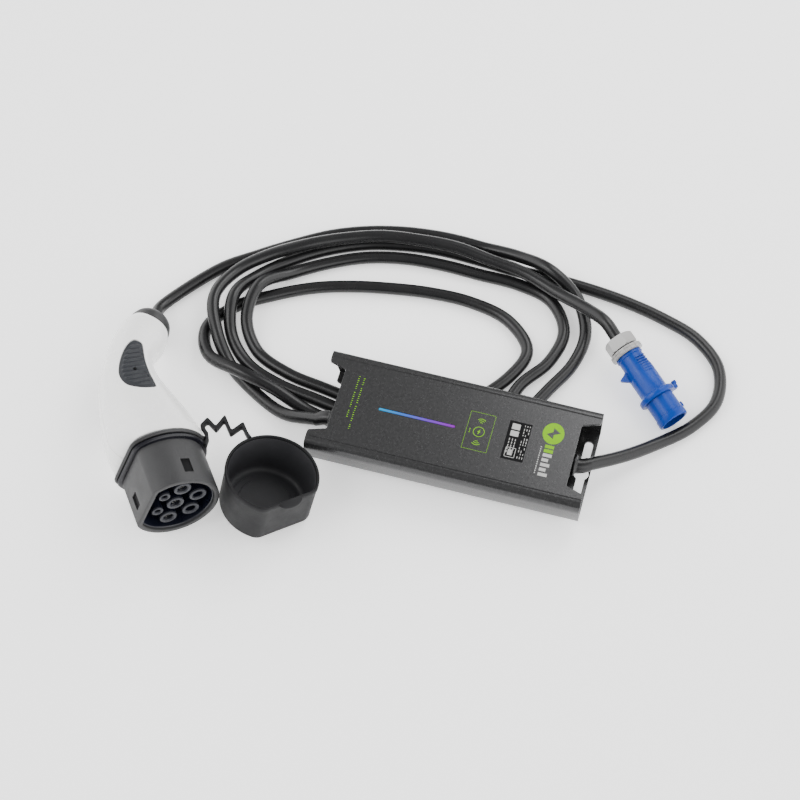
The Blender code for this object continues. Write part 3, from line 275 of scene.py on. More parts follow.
def light_window():
    """The lit bar: its colour runs from cyan over blue to violet along the box."""
    made = bpy.data.materials.new("light_window")
    made.use_nodes = True
    tree = made.node_tree
    shader = tree.nodes["Principled BSDF"]
    place = node(tree, "TexCoord")
    split = node(tree, "SeparateXYZ")
    start = BOX.translation.x + LIGHT_START
    along = node(tree, "MapRange", From_Min=start, From_Max=start + LIGHT_LENGTH)
    tint = ramp_of(tree, [(0.0, (0.001, 0.19, 0.36)), (0.35, (0.03, 0.09, 0.36)),
                          (0.65, (0.1, 0.03, 0.33)), (1.0, (0.16, 0.005, 0.27))])
    wire(place, "Object", split, "Vector")
    wire(split, "X", along, "Value")
    wire(along, "Result", tint, "Fac")
    wire(tint, "Color", shader, "Base Color")
    wire(tint, "Color", shader, "Emission Color")
    adjust(shader, Emission_Strength=0.35, Specular_IOR_Level=0.2, Roughness=0.35)
    return made


def finish(name):
    """The material of a finish, made at its first use."""
    if name not in FINISHES:
        if name == "light_window":
            FINISHES[name] = light_window()
        else:
            *columns, settings = FINISH_ROWS[name]
            FINISHES[name] = surface(name, *columns, **settings)
    return FINISHES[name]


def dress_nodes():
    """Every node of the frame gets the procedural finish of its slot, also where it is hidden."""
    for row in frame["record"]["subparts"]:
        mesh = NODES[row["node"]].data
        mesh.materials.clear()
        mesh.materials.append(finish(row["material_slot"]))


# Mesh helpers

def placed(name, data):
    made = bpy.data.objects.new(name, data)
    bpy.context.scene.collection.objects.link(made)
    return made


def bridge(bm, near, far):
    """Faces between two closed loops with the same count of vertices."""
    for i in range(len(near)):
        j = (i + 1) % len(near)
        bm.faces.new((near[i], near[j], far[j], far[i]))


def strip(bm, near, far):
    """Faces between two open rows with the same count of vertices."""
    for i in range(len(near) - 1):
        bm.faces.new((near[i], near[i + 1], far[i + 1], far[i]))


def fan(bm, loop, tip):
    """Faces from a closed loop to one vertex."""
    for i in range(len(loop)):
        bm.faces.new((loop[i], loop[(i + 1) % len(loop)], tip))


def loft(rings, closed=False, caps=True):
    bm = bmesh.new()
    loops = [[bm.verts.new(point) for point in ring] for ring in rings]
    pairs = list(zip(loops, loops[1:]))
    if closed:
        pairs.append((loops[-1], loops[0]))
    for near, far in pairs:
        bridge(bm, near, far)
    if caps and not closed:
        bm.faces.new(loops[0])
        bm.faces.new(list(reversed(loops[-1])))
    return bm


def prism(outline, start, end, axis="Z"):
    place = {"X": lambda a, b, h: (h, a, b),
             "Y": lambda a, b, h: (a, h, b),
             "Z": lambda a, b, h: (a, b, h)}[axis]
    return loft([[place(a, b, h) for a, b in outline] for h in sorted((start, end))])


def turned(profile, sides=48, closed=False, centre=(0.0, 0.0)):
    """Turn a profile of (x, radius) round the X axis. Radius 0 closes an end in a point."""
    bm = bmesh.new()
    rings = []
    for x, radius in profile:
        ring = round_outline(radius, sides, centre) if radius else [centre]
        rings.append([bm.verts.new((x, *point)) for point in ring])
    pairs = list(zip(rings, rings[1:]))
    if closed:
        pairs.append((rings[-1], rings[0]))
    for near, far in pairs:
        if len(near) == 1:
            for i in range(sides):
                bm.faces.new((near[0], far[(i + 1) % sides], far[i]))
        elif len(far) == 1:
            fan(bm, near, far[0])
        else:
            bridge(bm, near, far)
    return bm


def block(low, high, bevel=0.0, segments=3):
    bm = bmesh.new()
    bmesh.ops.create_cube(bm, size=1.0)
    for vert in bm.verts:
        vert.co = Vector([lo + (c + 0.5) * (hi - lo) for c, lo, hi in zip(vert.co, low, high)])
    if bevel:
        bmesh.ops.bevel(bm, geom=list(bm.edges), offset=bevel, segments=segments, profile=0.5,
                        affect="EDGES")
    return bm


def joined(shapes):
    whole = bmesh.new()
    for shape in shapes:
        mesh = mesh_of("part", shape)
        whole.from_mesh(mesh)
        bpy.data.meshes.remove(mesh)
    return whole


def mesh_of(name, bm):
    bmesh.ops.recalc_face_normals(bm, faces=bm.faces)
    mesh = bpy.data.meshes.new(name)
    bm.to_mesh(mesh)
    bm.free()
    return mesh


def carved(name, bm, cutters):
    """A mesh with the cutters taken out of it."""
    target = placed(name, mesh_of(name, bm))
    for cutter in cutters:
        tool = placed("cutter", mesh_of("cutter", cutter))
        step = target.modifiers.new("cut", "BOOLEAN")
        step.solver = "EXACT"
        step.object = tool
        bpy.context.view_layer.update()
        graph = bpy.context.evaluated_depsgraph_get()
        result = bpy.data.meshes.new_from_object(target.evaluated_get(graph))
        target.modifiers.clear()
        target.data = result
        bpy.data.objects.remove(tool, do_unlink=True)
    mesh = target.data
    bpy.data.objects.remove(target, do_unlink=True)
    return mesh


def piece(name, shape, matrix, look, stands_for=(), smooth=35.0, bevel=0.0):
    """Put a shape in its place, give it its finish, and let it ride on the charger."""
    mesh = shape if isinstance(shape, bpy.types.Mesh) else mesh_of(name, shape)
    mesh.name = name
    mesh.transform(matrix)
    mesh.materials.clear()
    mesh.materials.append(finish(look))
    mesh.shade_smooth()
    mesh.set_sharp_from_angle(angle=radians(smooth))
    made = placed(name, mesh)
    if bevel:
        edge = made.modifiers.new("edge", "BEVEL")
        edge.width = bevel
        edge.segments = 2
        edge.limit_method = "ANGLE"
        edge.angle_limit = radians(38.0)
        edge.harden_normals = True
    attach(made, "root")
    if stands_for:
        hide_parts(*stands_for)
    return made


def smooth_row(rows, share):
    """Read a row of numbers from a smooth curve through rows, at a share counted in rows."""
    i = min(int(share), len(rows) - 2)
    t = share - i
    p1, p2 = rows[i], rows[i + 1]
    p0 = rows[i - 1] if i else tuple(2 * a - b for a, b in zip(p1, p2))
    p3 = rows[i + 2] if i + 2 < len(rows) else tuple(2 * b - a for a, b in zip(p1, p2))
    return tuple(0.5 * (2 * b + (c - a) * t + (2 * a - 5 * b + 4 * c - d) * t ** 2
                        + (3 * b - a - 3 * c + d) * t ** 3) for a, b, c, d in zip(p0, p1, p2, p3))


def shifted(a, b, points):
    return [(a + x, b + y) for x, y in points]


def round_outline(radius, sides, centre=(0.0, 0.0)):
    return [(centre[0] + radius * cos(2 * pi * i / sides),
             centre[1] + radius * sin(2 * pi * i / sides)) for i in range(sides)]


def arc(centre, radius, start, end, steps=6):
    turns = [radians(start + (end - start) * k / steps) for k in range(steps + 1)]
    return [(centre[0] + radius * cos(t), centre[1] + radius * sin(t)) for t in turns]


def slot_outline(length, width):
    shift = length / 2 - width / 2
    return (arc((shift, 0.0), width / 2, -90.0, 90.0, 12)
            + arc((-shift, 0.0), width / 2, 90.0, 270.0, 12))


# Cables

def cable_points(route, steps):
    """The cable's middle line, smooth from end to end and above the floor."""
    rows = [tuple(point) for point in route]
    points = [Vector(smooth_row(rows, i / steps)) for i in range((len(rows) - 1) * steps)]
    points.append(Vector(rows[-1]))
    floor = CORD_DIAMETER / 2 + FIT / 2
    return [Vector((p.x, p.y, max(p.z, floor))) for p in points]


def cable(name, route, stands_for):
    data = bpy.data.curves.new(name, "CURVE")
    data.dimensions = "3D"
    data.bevel_depth = CORD_DIAMETER / 2
    data.bevel_resolution = 4
    data.use_fill_caps = True
    points = cable_points(route, 7)
    spline = data.splines.new("POLY")
    spline.points.add(len(points) - 1)
    for slot, point in zip(spline.points, points):
        slot.co = (*point, 1.0)
    spline.use_smooth = True
    data.materials.append(finish("cable_rubber"))
    made = placed(name, data)
    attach(made, "root")
    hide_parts(stands_for)
    return made


def in_place(route):
    rows = [(*row, CABLE_LOW)[:3] for row in route]
    return [on_floor(x / 1000, y / 1000, z / 1000) for x, y, z in rows]


# Connector

HANDLE_STATIONS = [
    (-0.0415, -0.0003, 0.0345, 0.0335, 0.0), (-0.0435, -0.0002, 0.0345, 0.0333, 0.0),
    (-0.046, -0.0001, 0.0345, 0.0331, 0.0), (-0.05, 0.0000, 0.0344, 0.0325, 0.0),
    (-0.062, 0.0004, 0.033, 0.03, 1.0), (-0.078, 0.0012, 0.03, 0.0262, 2.0),
    (-0.093, 0.002, 0.0262, 0.0232, 5.0), (-0.106, 0.0018, 0.0226, 0.0212, 10.0),
    (-0.118, -0.0008, 0.0194, 0.0198, 17.0), (-0.129, -0.0051, 0.0177, 0.019, 25.0),
    (-0.1386, -0.0118, 0.0181, 0.0185, 32.0), (-0.1464, -0.0191, 0.019, 0.0181, 38.0),
    (-0.153, -0.0249, 0.0183, 0.0176, 41.0), (-0.1582, -0.0293, 0.016, 0.0162, 42.0)]
PAD_OUTLINE = [
    (-0.135, -0.005), (-0.1333, -0.0088), (-0.13, -0.0102), (-0.1215, -0.0086),
    (-0.1125, -0.0072), (-0.1015, -0.0064), (-0.0895, -0.0062), (-0.0868, -0.0045),
    (-0.0863, 0.002), (-0.0875, 0.008), (-0.091, 0.0136), (-0.0965, 0.016),
    (-0.104, 0.016), (-0.1125, 0.0132), (-0.123, 0.0076), (-0.131, 0.0012)]


def d_outline(grow=0.0, sides=96):
    """The nose's outline as (y, z): a circle with one flat at the top and rounded corners."""
    radius, flat, corner = NOSE_RADIUS + grow, NOSE_FLAT + grow, NOSE_CORNER + max(grow, -0.003)
    centre_z = flat - corner
    centre_y = sqrt((radius - corner) ** 2 - centre_z ** 2)
    join = atan2(centre_z, centre_y)
    points = []
    for i in range(11):
        turn = pi / 2 + (join - pi / 2) * i / 10
        points.append((centre_y + corner * cos(turn), centre_z + corner * sin(turn)))
    sweep = pi + 2 * join
    for i in range(1, sides):
        turn = join - sweep * i / sides
        points.append((radius * cos(turn), radius * sin(turn)))
    return points + [(-y, z) for y, z in reversed(points[:11])]


def d_ring(path):
    """A ring with the nose's outline, from a closed path of (x, grow)."""
    return loft([[(x, y, z) for y, z in d_outline(grow)] for x, grow in path], closed=True)


def window_blocks(edge, low, high, bevel):
    """A block in each of the three windows, between two depths, smaller all round by edge."""
    half = WINDOW_WIDTH / 2 - edge
    near, far = WINDOW_PLACE - WINDOW_LENGTH / 2 + edge, WINDOW_PLACE + WINDOW_LENGTH / 2 - edge
    made = [block((near, FLAT_WINDOW_SHIFT - half, NOSE_FLAT - low),
                  (far, FLAT_WINDOW_SHIFT + half, NOSE_FLAT - high), bevel)]
    for sign in (1, -1):
        inner, outer = sorted((sign * (NOSE_RADIUS - low), sign * (NOSE_RADIUS - high)))
        made.append(block((near, inner, SIDE_WINDOW_SHIFT - half),
                          (far, outer, SIDE_WINDOW_SHIFT + half), bevel))
    return made


def build_nose():
    soft, lip = 0.0009, -NOSE_WALL
    path = [(NOSE_BACK, 0.0), (NOSE_RIM - soft, 0.0), (NOSE_RIM - soft * 0.3, -soft * 0.3),
            (NOSE_RIM, -soft), (NOSE_RIM, soft + lip), (NOSE_RIM - soft * 0.3, soft * 0.3 + lip),
            (NOSE_RIM - soft, lip), (NOSE_BACK, lip)]
    shell = carved("nose_shell", d_ring(path), window_blocks(0.0, WINDOW_DEPTH, -0.01, 0.0004))
    piece("nose_shell", shell, CONNECTOR, "nose_plastic", ["nose_shroud"])
    plates = window_blocks(0.0003, WINDOW_DEPTH - 0.0001, 0.0011, 0.0003)
    piece("window_plates", joined(plates), CONNECTOR, "black_plastic")
    back = NOSE_BACK + 0.0002
    lining = [(back, lip - 0.0001), *shifted(NOSE_RIM, lip, [
        (-0.0022, -0.0001), (-0.0018, -0.0004), (-0.002, -0.0009), (-0.0026, -0.0011)]),
        (back, lip - 0.0011)]
    piece("nose_lining", d_ring(lining), CONNECTOR, "navy_plastic", smooth=60.0)


def build_rings():
    place = NOSE_BACK - FIT
    for name, thick, proud, look in (
            ("flange_seal", SEAL_RING, SEAL_PROUD, "seal_rubber"),
            ("flange_ring", TRIM_RING, TRIM_PROUD, "grey_plastic")):
        path = []
        for k in range(9):
            turn = pi * k / 8
            path.append((place - thick / 2 + thick / 2 * cos(turn) ** 3,
                         proud - 0.0012 + 0.0012 * sin(turn)))
        path += [(place - thick, -NOSE_WALL), (place, -NOSE_WALL)]
        piece(f"{name}_round", d_ring(path), CONNECTOR, look, [name])
        place -= thick + FIT


def build_contacts():
    """The carrier's floor with seven towers, each with a rounded lip and a flared mouth. The lips
    are painted lighter than the towers, as a painted highlight on the rims.
    """
    side, row = CONTACT_PITCH / 2, CONTACT_PITCH * sqrt(3) / 2
    floor_back = NOSE_BACK - SEAL_RING - TRIM_RING - 2 * FIT
    floor = floor_back + 0.004
    shapes = [prism(d_outline(-NOSE_WALL - FIT), floor_back, floor, "X")]
    lips = []
    large = [(0.0, 0.0), (CONTACT_PITCH, 0.0), (-CONTACT_PITCH, 0.0), (side, -row), (-side, -row)]
    places = [(y, z, 0.0064, 0.0036) for y, z in large]
    places += [(y, PILOT_ROW, 0.0043, 0.0021) for y in (side, -side)]
    lip = 0.0006
    for y, z, radius, bore in places:
        profile = [(floor - 0.0005, radius), (-0.0016, radius), (-0.0016, bore),
                   (floor - 0.0005, bore)]
        shapes.append(turned(profile, 40, closed=True, centre=(y, z)))
        profile = [(-0.0015, radius), (-lip, radius), (-lip * 0.3, radius - lip * 0.3),
                   (0.0, radius - lip), (0.0, bore + 0.0008), (-0.0008, bore), (-0.0015, bore)]
        lips.append(turned(profile, 40, closed=True, centre=(y, z)))
        shapes.append(turned([(-0.0205, 0.0), (-0.0205, bore - 0.0001), (-0.0215, bore - 0.0001),
                              (-0.0215, 0.0)], 24, centre=(y, z)))
    piece("contact_towers", joined(shapes), CONNECTOR, "navy_plastic",
          ["contact_carrier"])
    # Painted highlight: the lips get a lighter finish than the towers below them.
    piece("tower_lips_highlight", joined(lips), CONNECTOR, "tower_rim_highlight")


def handle_point(share, turn, grow):
    """A point on the handle's skin: share runs along its stations, turn round a section."""
    x, z, high, wide, lean = smooth_row(HANDLE_STATIONS, share)
    slant = radians(lean)
    up, out = cos(turn), sin(turn)
    rise = copysign(abs(up) ** 0.86, up) * (high + grow)
    side = copysign(abs(out) ** 0.86, out) * (wide + grow)
    if rise > 0.0:
        seat = max(0.0, 1.0 - (HANDLE_STATIONS[0][0] - x) / HANDLE_SEAT) ** 2
        flat = NOSE_FLAT + HANDLE_PROUD + grow
        rise += seat * (rise / (1.0 + (rise / flat) ** 8) ** 0.125 - rise)
    return Vector((x - rise * sin(slant), side, z + rise * cos(slant)))


def handle_shares(steps):
    last = len(HANDLE_STATIONS) - 1
    return [last * i / steps for i in range(steps + 1)]


def end_rounding(share):
    """The shells' rims are rounded at both ends."""
    last = len(HANDLE_STATIONS) - 1
    gap = min(share / 4.0, last - share)
    return -0.0007 * max(0.0, 1.0 - gap / 0.12) ** 2


def handle_half(sign):
    """One shell: the outer skin, the inner skin, and the rims that close it. Where the two shells
    meet the edge turns in, so that a fine line shows."""
    count = 40
    bm = bmesh.new()
    skins = []
    shares = handle_shares(110)
    for grow in (0.0, -HANDLE_WALL):
        skin = []
        for share in shares:
            row = []
            for i in range(-1, count + 2):
                turn = pi * min(max(i, 0), count) / count
                sunk = -0.0004 if i in (-1, count + 1) else 0.0
                point = handle_point(share, turn, grow + sunk + end_rounding(share))
                least = FIT / 2 if sunk else FIT / 2 + 0.0003
                row.append(bm.verts.new((point.x, sign * max(point.y, least), point.z)))
            skin.append(row)
        skins.append(skin)
    outer, inner = skins
    for skin in skins:
        for near, far in zip(skin, skin[1:]):
            strip(bm, near, far)
    for edge in (0, -1):
        strip(bm, [row[edge] for row in outer], [row[edge] for row in inner])
    for end in (0, -1):
        strip(bm, outer[end], inner[end])
    return bm


def handle_skin():
    """The handle's whole skin, to read its depth from."""
    rings = [[handle_point(share, 2 * pi * i / 80, 0.0) for i in range(80)]
             for share in handle_shares(66)]
    return BVHTree.FromBMesh(loft(rings, caps=False))


def on_skin(skin, sign, x, z):
    return skin.ray_cast(Vector((x, sign * 0.09, z)), Vector((0.0, -sign, 0.0)))[0]


def pad_edge(grow, count=120):
    """The pad's outline, smooth and pushed outwards by grow."""
    whole = PAD_OUTLINE + PAD_OUTLINE[:3]
    points = []
    for i in range(count):
        share = 1 + len(PAD_OUTLINE) * i / count
        points.append(Vector(smooth_row(whole + whole[3:4], share)))
    middle = sum(points, Vector((0.0, 0.0))) / count
    made = []
    for i, point in enumerate(points):
        along = (points[(i + 1) % count] - points[i - 1]).normalized()
        away = Vector((along.y, -along.x))
        if away.dot(point - middle) < 0:
            away = -away
        made.append(point + away * grow)
    return made, middle


def rib_height(x, z, share):
    """Ribs across the pad, which fade out before its border."""
    if share > 0.88:
        return 0.0
    fade = min(1.0, (0.88 - share) / 0.08)
    phase = ((x + 0.089 - 0.1 * z) / 0.0042) % 1.0
    ridge = max(0.0, 1.0 - abs(phase - 0.5) / 0.3)
    return 0.0009 * fade * min(1.0, ridge * 1.8)


def pad_solid(sign, skin, grow, low, high, ribs):
    """A solid over the pad's outline between two depths, which follows the handle's skin."""
    edge, middle = pad_edge(grow)
    rings = 34 if ribs else 12
    shares = [1.0, 1.0, 0.985, 0.96] + [0.94 * (1 - i / rings) for i in range(rings)]
    lifts = [low, high - 0.0005, high - 0.0001, high] + [high] * rings
    bm = bmesh.new()

    def spot(point, lift):
        return (point.x, on_skin(skin, sign, *point).y + sign * lift, point.y)

    loops = []
    for share, lift in zip(shares, lifts):
        row = []
        for point in edge:
            at = middle.lerp(point, share)
            extra = rib_height(at.x, at.y, share) if ribs and lift == high else 0.0
            row.append(bm.verts.new(spot(at, lift + extra)))
        loops.append(row)
    for near, far in zip(loops, loops[1:]):
        bridge(bm, near, far)
    tip = bm.verts.new(spot(middle, high + (rib_height(middle.x, middle.y, 0.0) if ribs else 0.0)))
    fan(bm, loops[-1], tip)
    under = [bm.verts.new(spot(middle.lerp(point, 0.5), low)) for point in edge]
    bridge(bm, loops[0], under)
    fan(bm, under, bm.verts.new(spot(middle, low)))
    return bm


def build_handle():
    skin = handle_skin()
    for sign, side in ((1, "left"), (-1, "right")):
        recess = pad_solid(sign, skin, 0.00045, -0.0012, 0.006, False)
        shell = carved(f"shell_{side}", handle_half(sign), [recess])
        piece(f"shell_{side}", shell, CONNECTOR, "white_shell", [f"handle_shell_{side}"])
        pad = pad_solid(sign, skin, 0.0, -0.0011, -0.0001, True)
        piece(f"ribbed_pad_{side}", pad, CONNECTOR, "slate_rubber", [f"grip_pad_{side}"],
              smooth=40.0)
        eye = on_skin(skin, sign, -0.106, 0.004)
        dot = turned([(-0.0006, 0.0), (-0.0006, 0.0011), (0.0007, 0.0011), (0.001, 0.0007),
                      (0.001, 0.0)], 24)
        piece(f"pad_eye_{side}", dot, CONNECTOR @ Matrix.Translation(eye)
              @ Matrix.Rotation(radians(sign * 90.0), 4, "Z"), "black_plastic")


def collar_place():
    x, z, high, wide, lean = HANDLE_STATIONS[-1]
    slant = radians(lean)
    return Matrix.Translation((x, 0.0, z)) @ Matrix.Rotation(-slant, 4, "Y"), high, wide, slant


def build_collar():
    """The bend relief on the end of the handle: an oval ring, a dome and a neck for the cable."""
    local, high, wide, slant = collar_place()
    inner = min(high, wide) - HANDLE_WALL - FIT
    steps = [(-0.006, None), (FIT, None), (FIT, 0.96), (FIT + 0.0003, 0.99)]
    steps += [(COLLAR_LENGTH * 0.32, 1.0), (COLLAR_LENGTH * 0.35, 0.97)]
    for k in range(1, 13):
        turn = pi / 2 * k / 12
        steps.append((COLLAR_LENGTH * (0.35 + 0.57 * sin(turn)), 0.46 + 0.51 * cos(turn)))
    steps += [(COLLAR_LENGTH * 0.93, 0.42), (COLLAR_LENGTH, 0.4), (COLLAR_LENGTH, 0.33)]
    rings = []
    for along, share in steps:
        tall, broad = (high * share, wide * share) if share else (inner, inner)
        rings.append([(-along, broad * y, tall * z) for z, y in round_outline(1.0, 56)])
    piece("handle_collar", loft(rings), CONNECTOR @ local, "grey_plastic",
          ["cable_collar"], smooth=40.0)


def vehicle_route():
    local, high, wide, slant = collar_place()
    aim = Vector((-cos(slant), 0.0, -sin(slant)))
    ends = [CONNECTOR @ (local.translation + aim * (COLLAR_LENGTH + reach))
            for reach in (COLLAR_LEAD, FIT)]
    return in_place(VEHICLE_ROUTE) + ends


# Dust cap

STRAP_LINE = [(-119.5, -94.0), (-119.4, -88.0), (-125.4, -82.2), (-122.8, -76.4), (-114.8, -81.8),
              (-111.4, -71.8), (-103.4, -82.2), (-97.2, -73.4), (-92.4, -79.6), (-88.9, -82.6)]


def rounded_line(points, radius, steps=6):
    """A line of straight stretches with its corners rounded."""
    points = [Vector(p) for p in points]
    made = [points[0]]
    for before, corner, after in zip(points, points[1:], points[2:]):
        back, on = (before - corner), (after - corner)
        reach = min(radius, back.length * 0.45, on.length * 0.45)
        start, end = corner + back.normalized() * reach, corner + on.normalized() * reach
        for k in range(steps + 1):
            t = k / steps
            made.append(start * (1 - t) ** 2 + corner * 2 * t * (1 - t) + end * t * t)
    return made + [points[-1]]


def band(line, thick):
    """A band of even thickness along a line, as one closed outline with its folds rounded."""
    line = [Vector(point) for point in line]
    left, right = [], []
    for i, point in enumerate(line):
        before = (point - line[i - 1]).normalized() if i else (line[1] - point).normalized()
        after = (line[i + 1] - point).normalized() if i < len(line) - 1 else before
        across = (before + after).normalized().orthogonal()
        reach = thick / 2 / max(0.45, across.dot(before.orthogonal()))
        left.append(point + across * reach)
        right.append(point - across * reach)
    return rounded_line(left, 0.0018) + rounded_line(right, 0.0018)[::-1]


def cap_loft(path):
    return loft([[(x, y, height) for x, y in d_outline(grow)] for height, grow in path])


def build_cap():
    """The rubber cup with a beaded rim and a stepped floor, its pull tab and its folded strap."""
    wall, clear, mouth = CAP_CLEAR + CAP_WALL, CAP_CLEAR, CAP_DEPTH
    cup = shifted(0.0, wall, [(0.0, -0.0032), (0.0005, -0.0018), (0.0015, -0.0008),
                              (0.003, -0.0004)])
    cup += shifted(mouth, wall, [(-0.0046, 0.0), (-0.004, 0.0004), (-0.001, 0.0004),
                                 (-0.0003, 0.0001), (0.0, -0.0004)])
    cup += shifted(mouth, clear, [(0.0, 0.0006), (-0.0004, 0.0002), (-0.0014, 0.0)])
    deep = clear - CAP_TAPER
    cup += [(0.006, deep), (0.003, -0.001), (CAP_WALL, -0.003)]
    piece("cap_cup", cap_loft(cup), CAP, "grey_rubber", ["dust_cap"], smooth=50.0)
    liner = [(CAP_WALL + 0.0001, -0.0034), (0.0032, -0.0014), (0.0062, deep - 0.0002)]
    liner += shifted(mouth, clear, [(-0.0024, -0.0001), (-0.0021, -0.0004), (-0.0024, -0.0007)])
    liner += [(0.0066, deep - 0.0008), (0.004, -0.0018)]
    liner += shifted(CAP_WALL, 0.0, [(0.0008, -0.0034), (0.0005, -0.005), (0.0005, -0.007),
                                     (0.0012, -0.0074), (0.0012, -0.012), (0.0018, -0.0124)])
    piece("cap_liner", cap_loft(liner), CAP, "dark_rubber", smooth=50.0)
    rings = []
    for lift, shrink in ((-0.003, 0.001), (-0.0026, 0.0003), (-0.0018, 0.0), (-0.001, 0.0),
                         (-0.0003, 0.0004), (0.0, 0.0012)):
        ring = []
        for i in range(33):
            turn = pi * i / 32
            out = (0.0054 - shrink) * sin(turn) ** 0.8
            ring.append(((TAB_WIDTH / 2 - shrink) * cos(turn), NOSE_FLAT + wall - 0.0008 + out,
                         mouth + 0.0002 + lift - 45.0 * out * out))
        rings.append(ring)
    piece("pull_tab", loft(rings), CAP, "grey_rubber", smooth=50.0)
    line = [(x / 1000, y / 1000) for x, y in STRAP_LINE]
    half, soft = STRAP_HEIGHT / 2, 0.0007
    edge = ((0.0, soft), (soft * 0.3, soft * 0.3), (soft, 0.0))
    levels = [(lift - half, lean) for lift, lean in edge]
    levels += [(half - lift, lean) for lift, lean in reversed(edge)]
    rings = [[(x, y, level) for x, y in band(line, STRAP_THICK - 2 * lean)]
             for level, lean in levels]
    piece("cap_strap", loft(rings), frame_matrix(on_floor(0.0, 0.0, STRAP_LEVEL)), "strap_rubber",
          smooth=50.0)
    foot = block((-0.0024, -0.0034, -half), (0.0024, 0.0034, half), 0.0011, 4)
    piece("strap_foot", foot, frame_matrix(on_floor(-0.1195, -0.0935, STRAP_LEVEL)), "strap_rubber")


# Control box

def side_at(height, wall):
    share = min(height / BOX_WIDEST, 1.0)
    return BOX_BASE_WIDTH / 2 + share * (BOX_WIDTH - BOX_BASE_WIDTH) / 2 - wall


def shoulder(wall, steps=24):
    points = []
    for i in range(steps + 1):
        turn = radians(90 * i / steps)
        half = BOX_TOP_FLAT / 2 + 0.0004
        points.append((half + (BOX_WIDTH / 2 - wall - half) * sin(turn) ** 0.75,
                       BOX_WIDEST + (BOX_HEIGHT - wall - BOX_WIDEST)
                       * (cos(turn) ** 0.75 if i < steps else 0.0)))
    return points


def mirrored(half):
    return half + [(-y, z) for y, z in reversed(half)]


def housing_outline():
    """The extrusion's outline, with a fine groove along each shoulder and soft lower corners."""
    line = BOX_TOP_FLAT / 2
    half = [(line - 0.0005, BOX_HEIGHT), (line - 0.0001, BOX_HEIGHT - 0.0005)]
    half += shoulder(0.0)
    half += [(side_at(0.015, 0.0), 0.015), (side_at(0.0147, 0.0003), 0.0147),
             (side_at(0.0024, 0.0), 0.0024)]
    base = side_at(0.0, 0.0)
    half += [(base - 0.0012 + 0.0012 * cos(t), 0.0014 - 0.0014 * sin(t))
             for t in (radians(15 * k) for k in range(1, 7))]
    return mirrored(half)


def plain_bore(shrink=0.0):
    wall = BOX_WALL + shrink
    return mirrored(shoulder(wall) + [(side_at(wall, wall), wall)])


def notch_outline(end):
    """Seen from above: the gap between the horns, with rounded roots and rounded horn tips."""
    inner, mouth = NOTCH_INNER / 2, NOTCH_MOUTH / 2
    root, tip = BOX_LENGTH / 2 - NOTCH_DEPTH, BOX_LENGTH / 2
    half = arc((root + 0.0018, inner - 0.0018), 0.0018, 180, 90)
    half += [(tip - 0.002, mouth - 0.0006)]
    half += arc((tip - 0.002, mouth + 0.0012), 0.0018, -80, -5)
    half += [(tip, mouth + 0.003), (tip + 0.003, mouth + 0.006)]
    whole = half + [(x, -y) for x, y in reversed(half)]
    return [(end * x, y) for x, y in whole]


def build_housing():
    half = BOX_LENGTH / 2
    over = 0.005
    middle = LIGHT_START + LIGHT_LENGTH / 2
    light = [(middle + x, y) for x, y in slot_outline(LIGHT_LENGTH, LIGHT_WIDTH)]
    keyhole = half - KEYHOLE_CENTRE
    slot = [(keyhole + y, x) for x, y in slot_outline(KEYHOLE_SPAN, KEYHOLE_SLOT)]
    wedge = [(-half - over, -over), (-half + BASE_SETBACK, -over), (-half + BASE_SETBACK, 0.0),
             (-half, BOX_WIDEST - 0.0008), (-half - over, BOX_WIDEST - 0.0008)]
    cutters = [prism(plain_bore(), -half - over, half + over, "X"),
               prism(notch_outline(1), BOX_WALL + 0.0004, BOX_HEIGHT + over),
               prism(notch_outline(-1), -over, BOX_HEIGHT + over),
               prism(wedge, -BOX_WIDTH, BOX_WIDTH, "Y"),
               prism(slot, -over, BOX_WALL + 0.0008),
               prism(round_outline(KEYHOLE_HEAD / 2, 32, (keyhole - 0.0004, 0.0)), -over,
                     BOX_WALL + 0.0008),
               prism(light, BOX_HEIGHT - 2 * BOX_WALL, BOX_HEIGHT + over)]
    shape = carved("box_shell", prism(housing_outline(), -half, half, "X"), cutters)
    piece("box_shell", shape, BOX, "dark_aluminium", ["housing"], bevel=0.0004)


def build_ends():
    """End plates with a raised frame round the gland, and a round seat for the gland."""
    face = BOX_LENGTH / 2 - NOTCH_DEPTH - FIT
    for end, side in ((1, "vehicle"), (-1, "supply")):
        offset = GLAND_OFFSET[side]
        plate = prism(plain_bore(FIT), end * (face - 0.003), end * face, "X")
        line = [(y * 0.93, 0.0135 + (z - 0.0135) * 0.84) for y, z in plain_bore(FIT)]
        sink = prism(line, end * (face - 0.001), end * (face + 0.002), "X")
        hub = turned([(end * (face - 0.002), 0.0), (end * (face - 0.002), 0.0102),
                      (end * (face - 0.0002), 0.0098), (end * (face - 0.0002), 0.0)], 40,
                     centre=(offset, GLAND_HEIGHT))
        mesh = carved(f"end_cover_{side}", plate, [sink])
        piece(f"end_cover_{side}", mesh, BOX, "black_plastic", [f"end_plate_{side}"])
        piece(f"gland_seat_{side}", hub, BOX, "black_plastic")


def gland_path(side, route):
    end = 1 if side == "vehicle" else -1
    face = BOX_LENGTH / 2 - NOTCH_DEPTH
    base = Vector((end * (face + 0.0026), GLAND_OFFSET[side], GLAND_HEIGHT))
    start, onward = [BOX.inverted() @ point for point in route[:2]]
    heading = (onward - start).normalized()
    tip = start - heading * FIT
    lead = base + Vector((end * (tip - base).length * 0.4, 0.0, 0.0))
    return end, base, lead, tip, heading


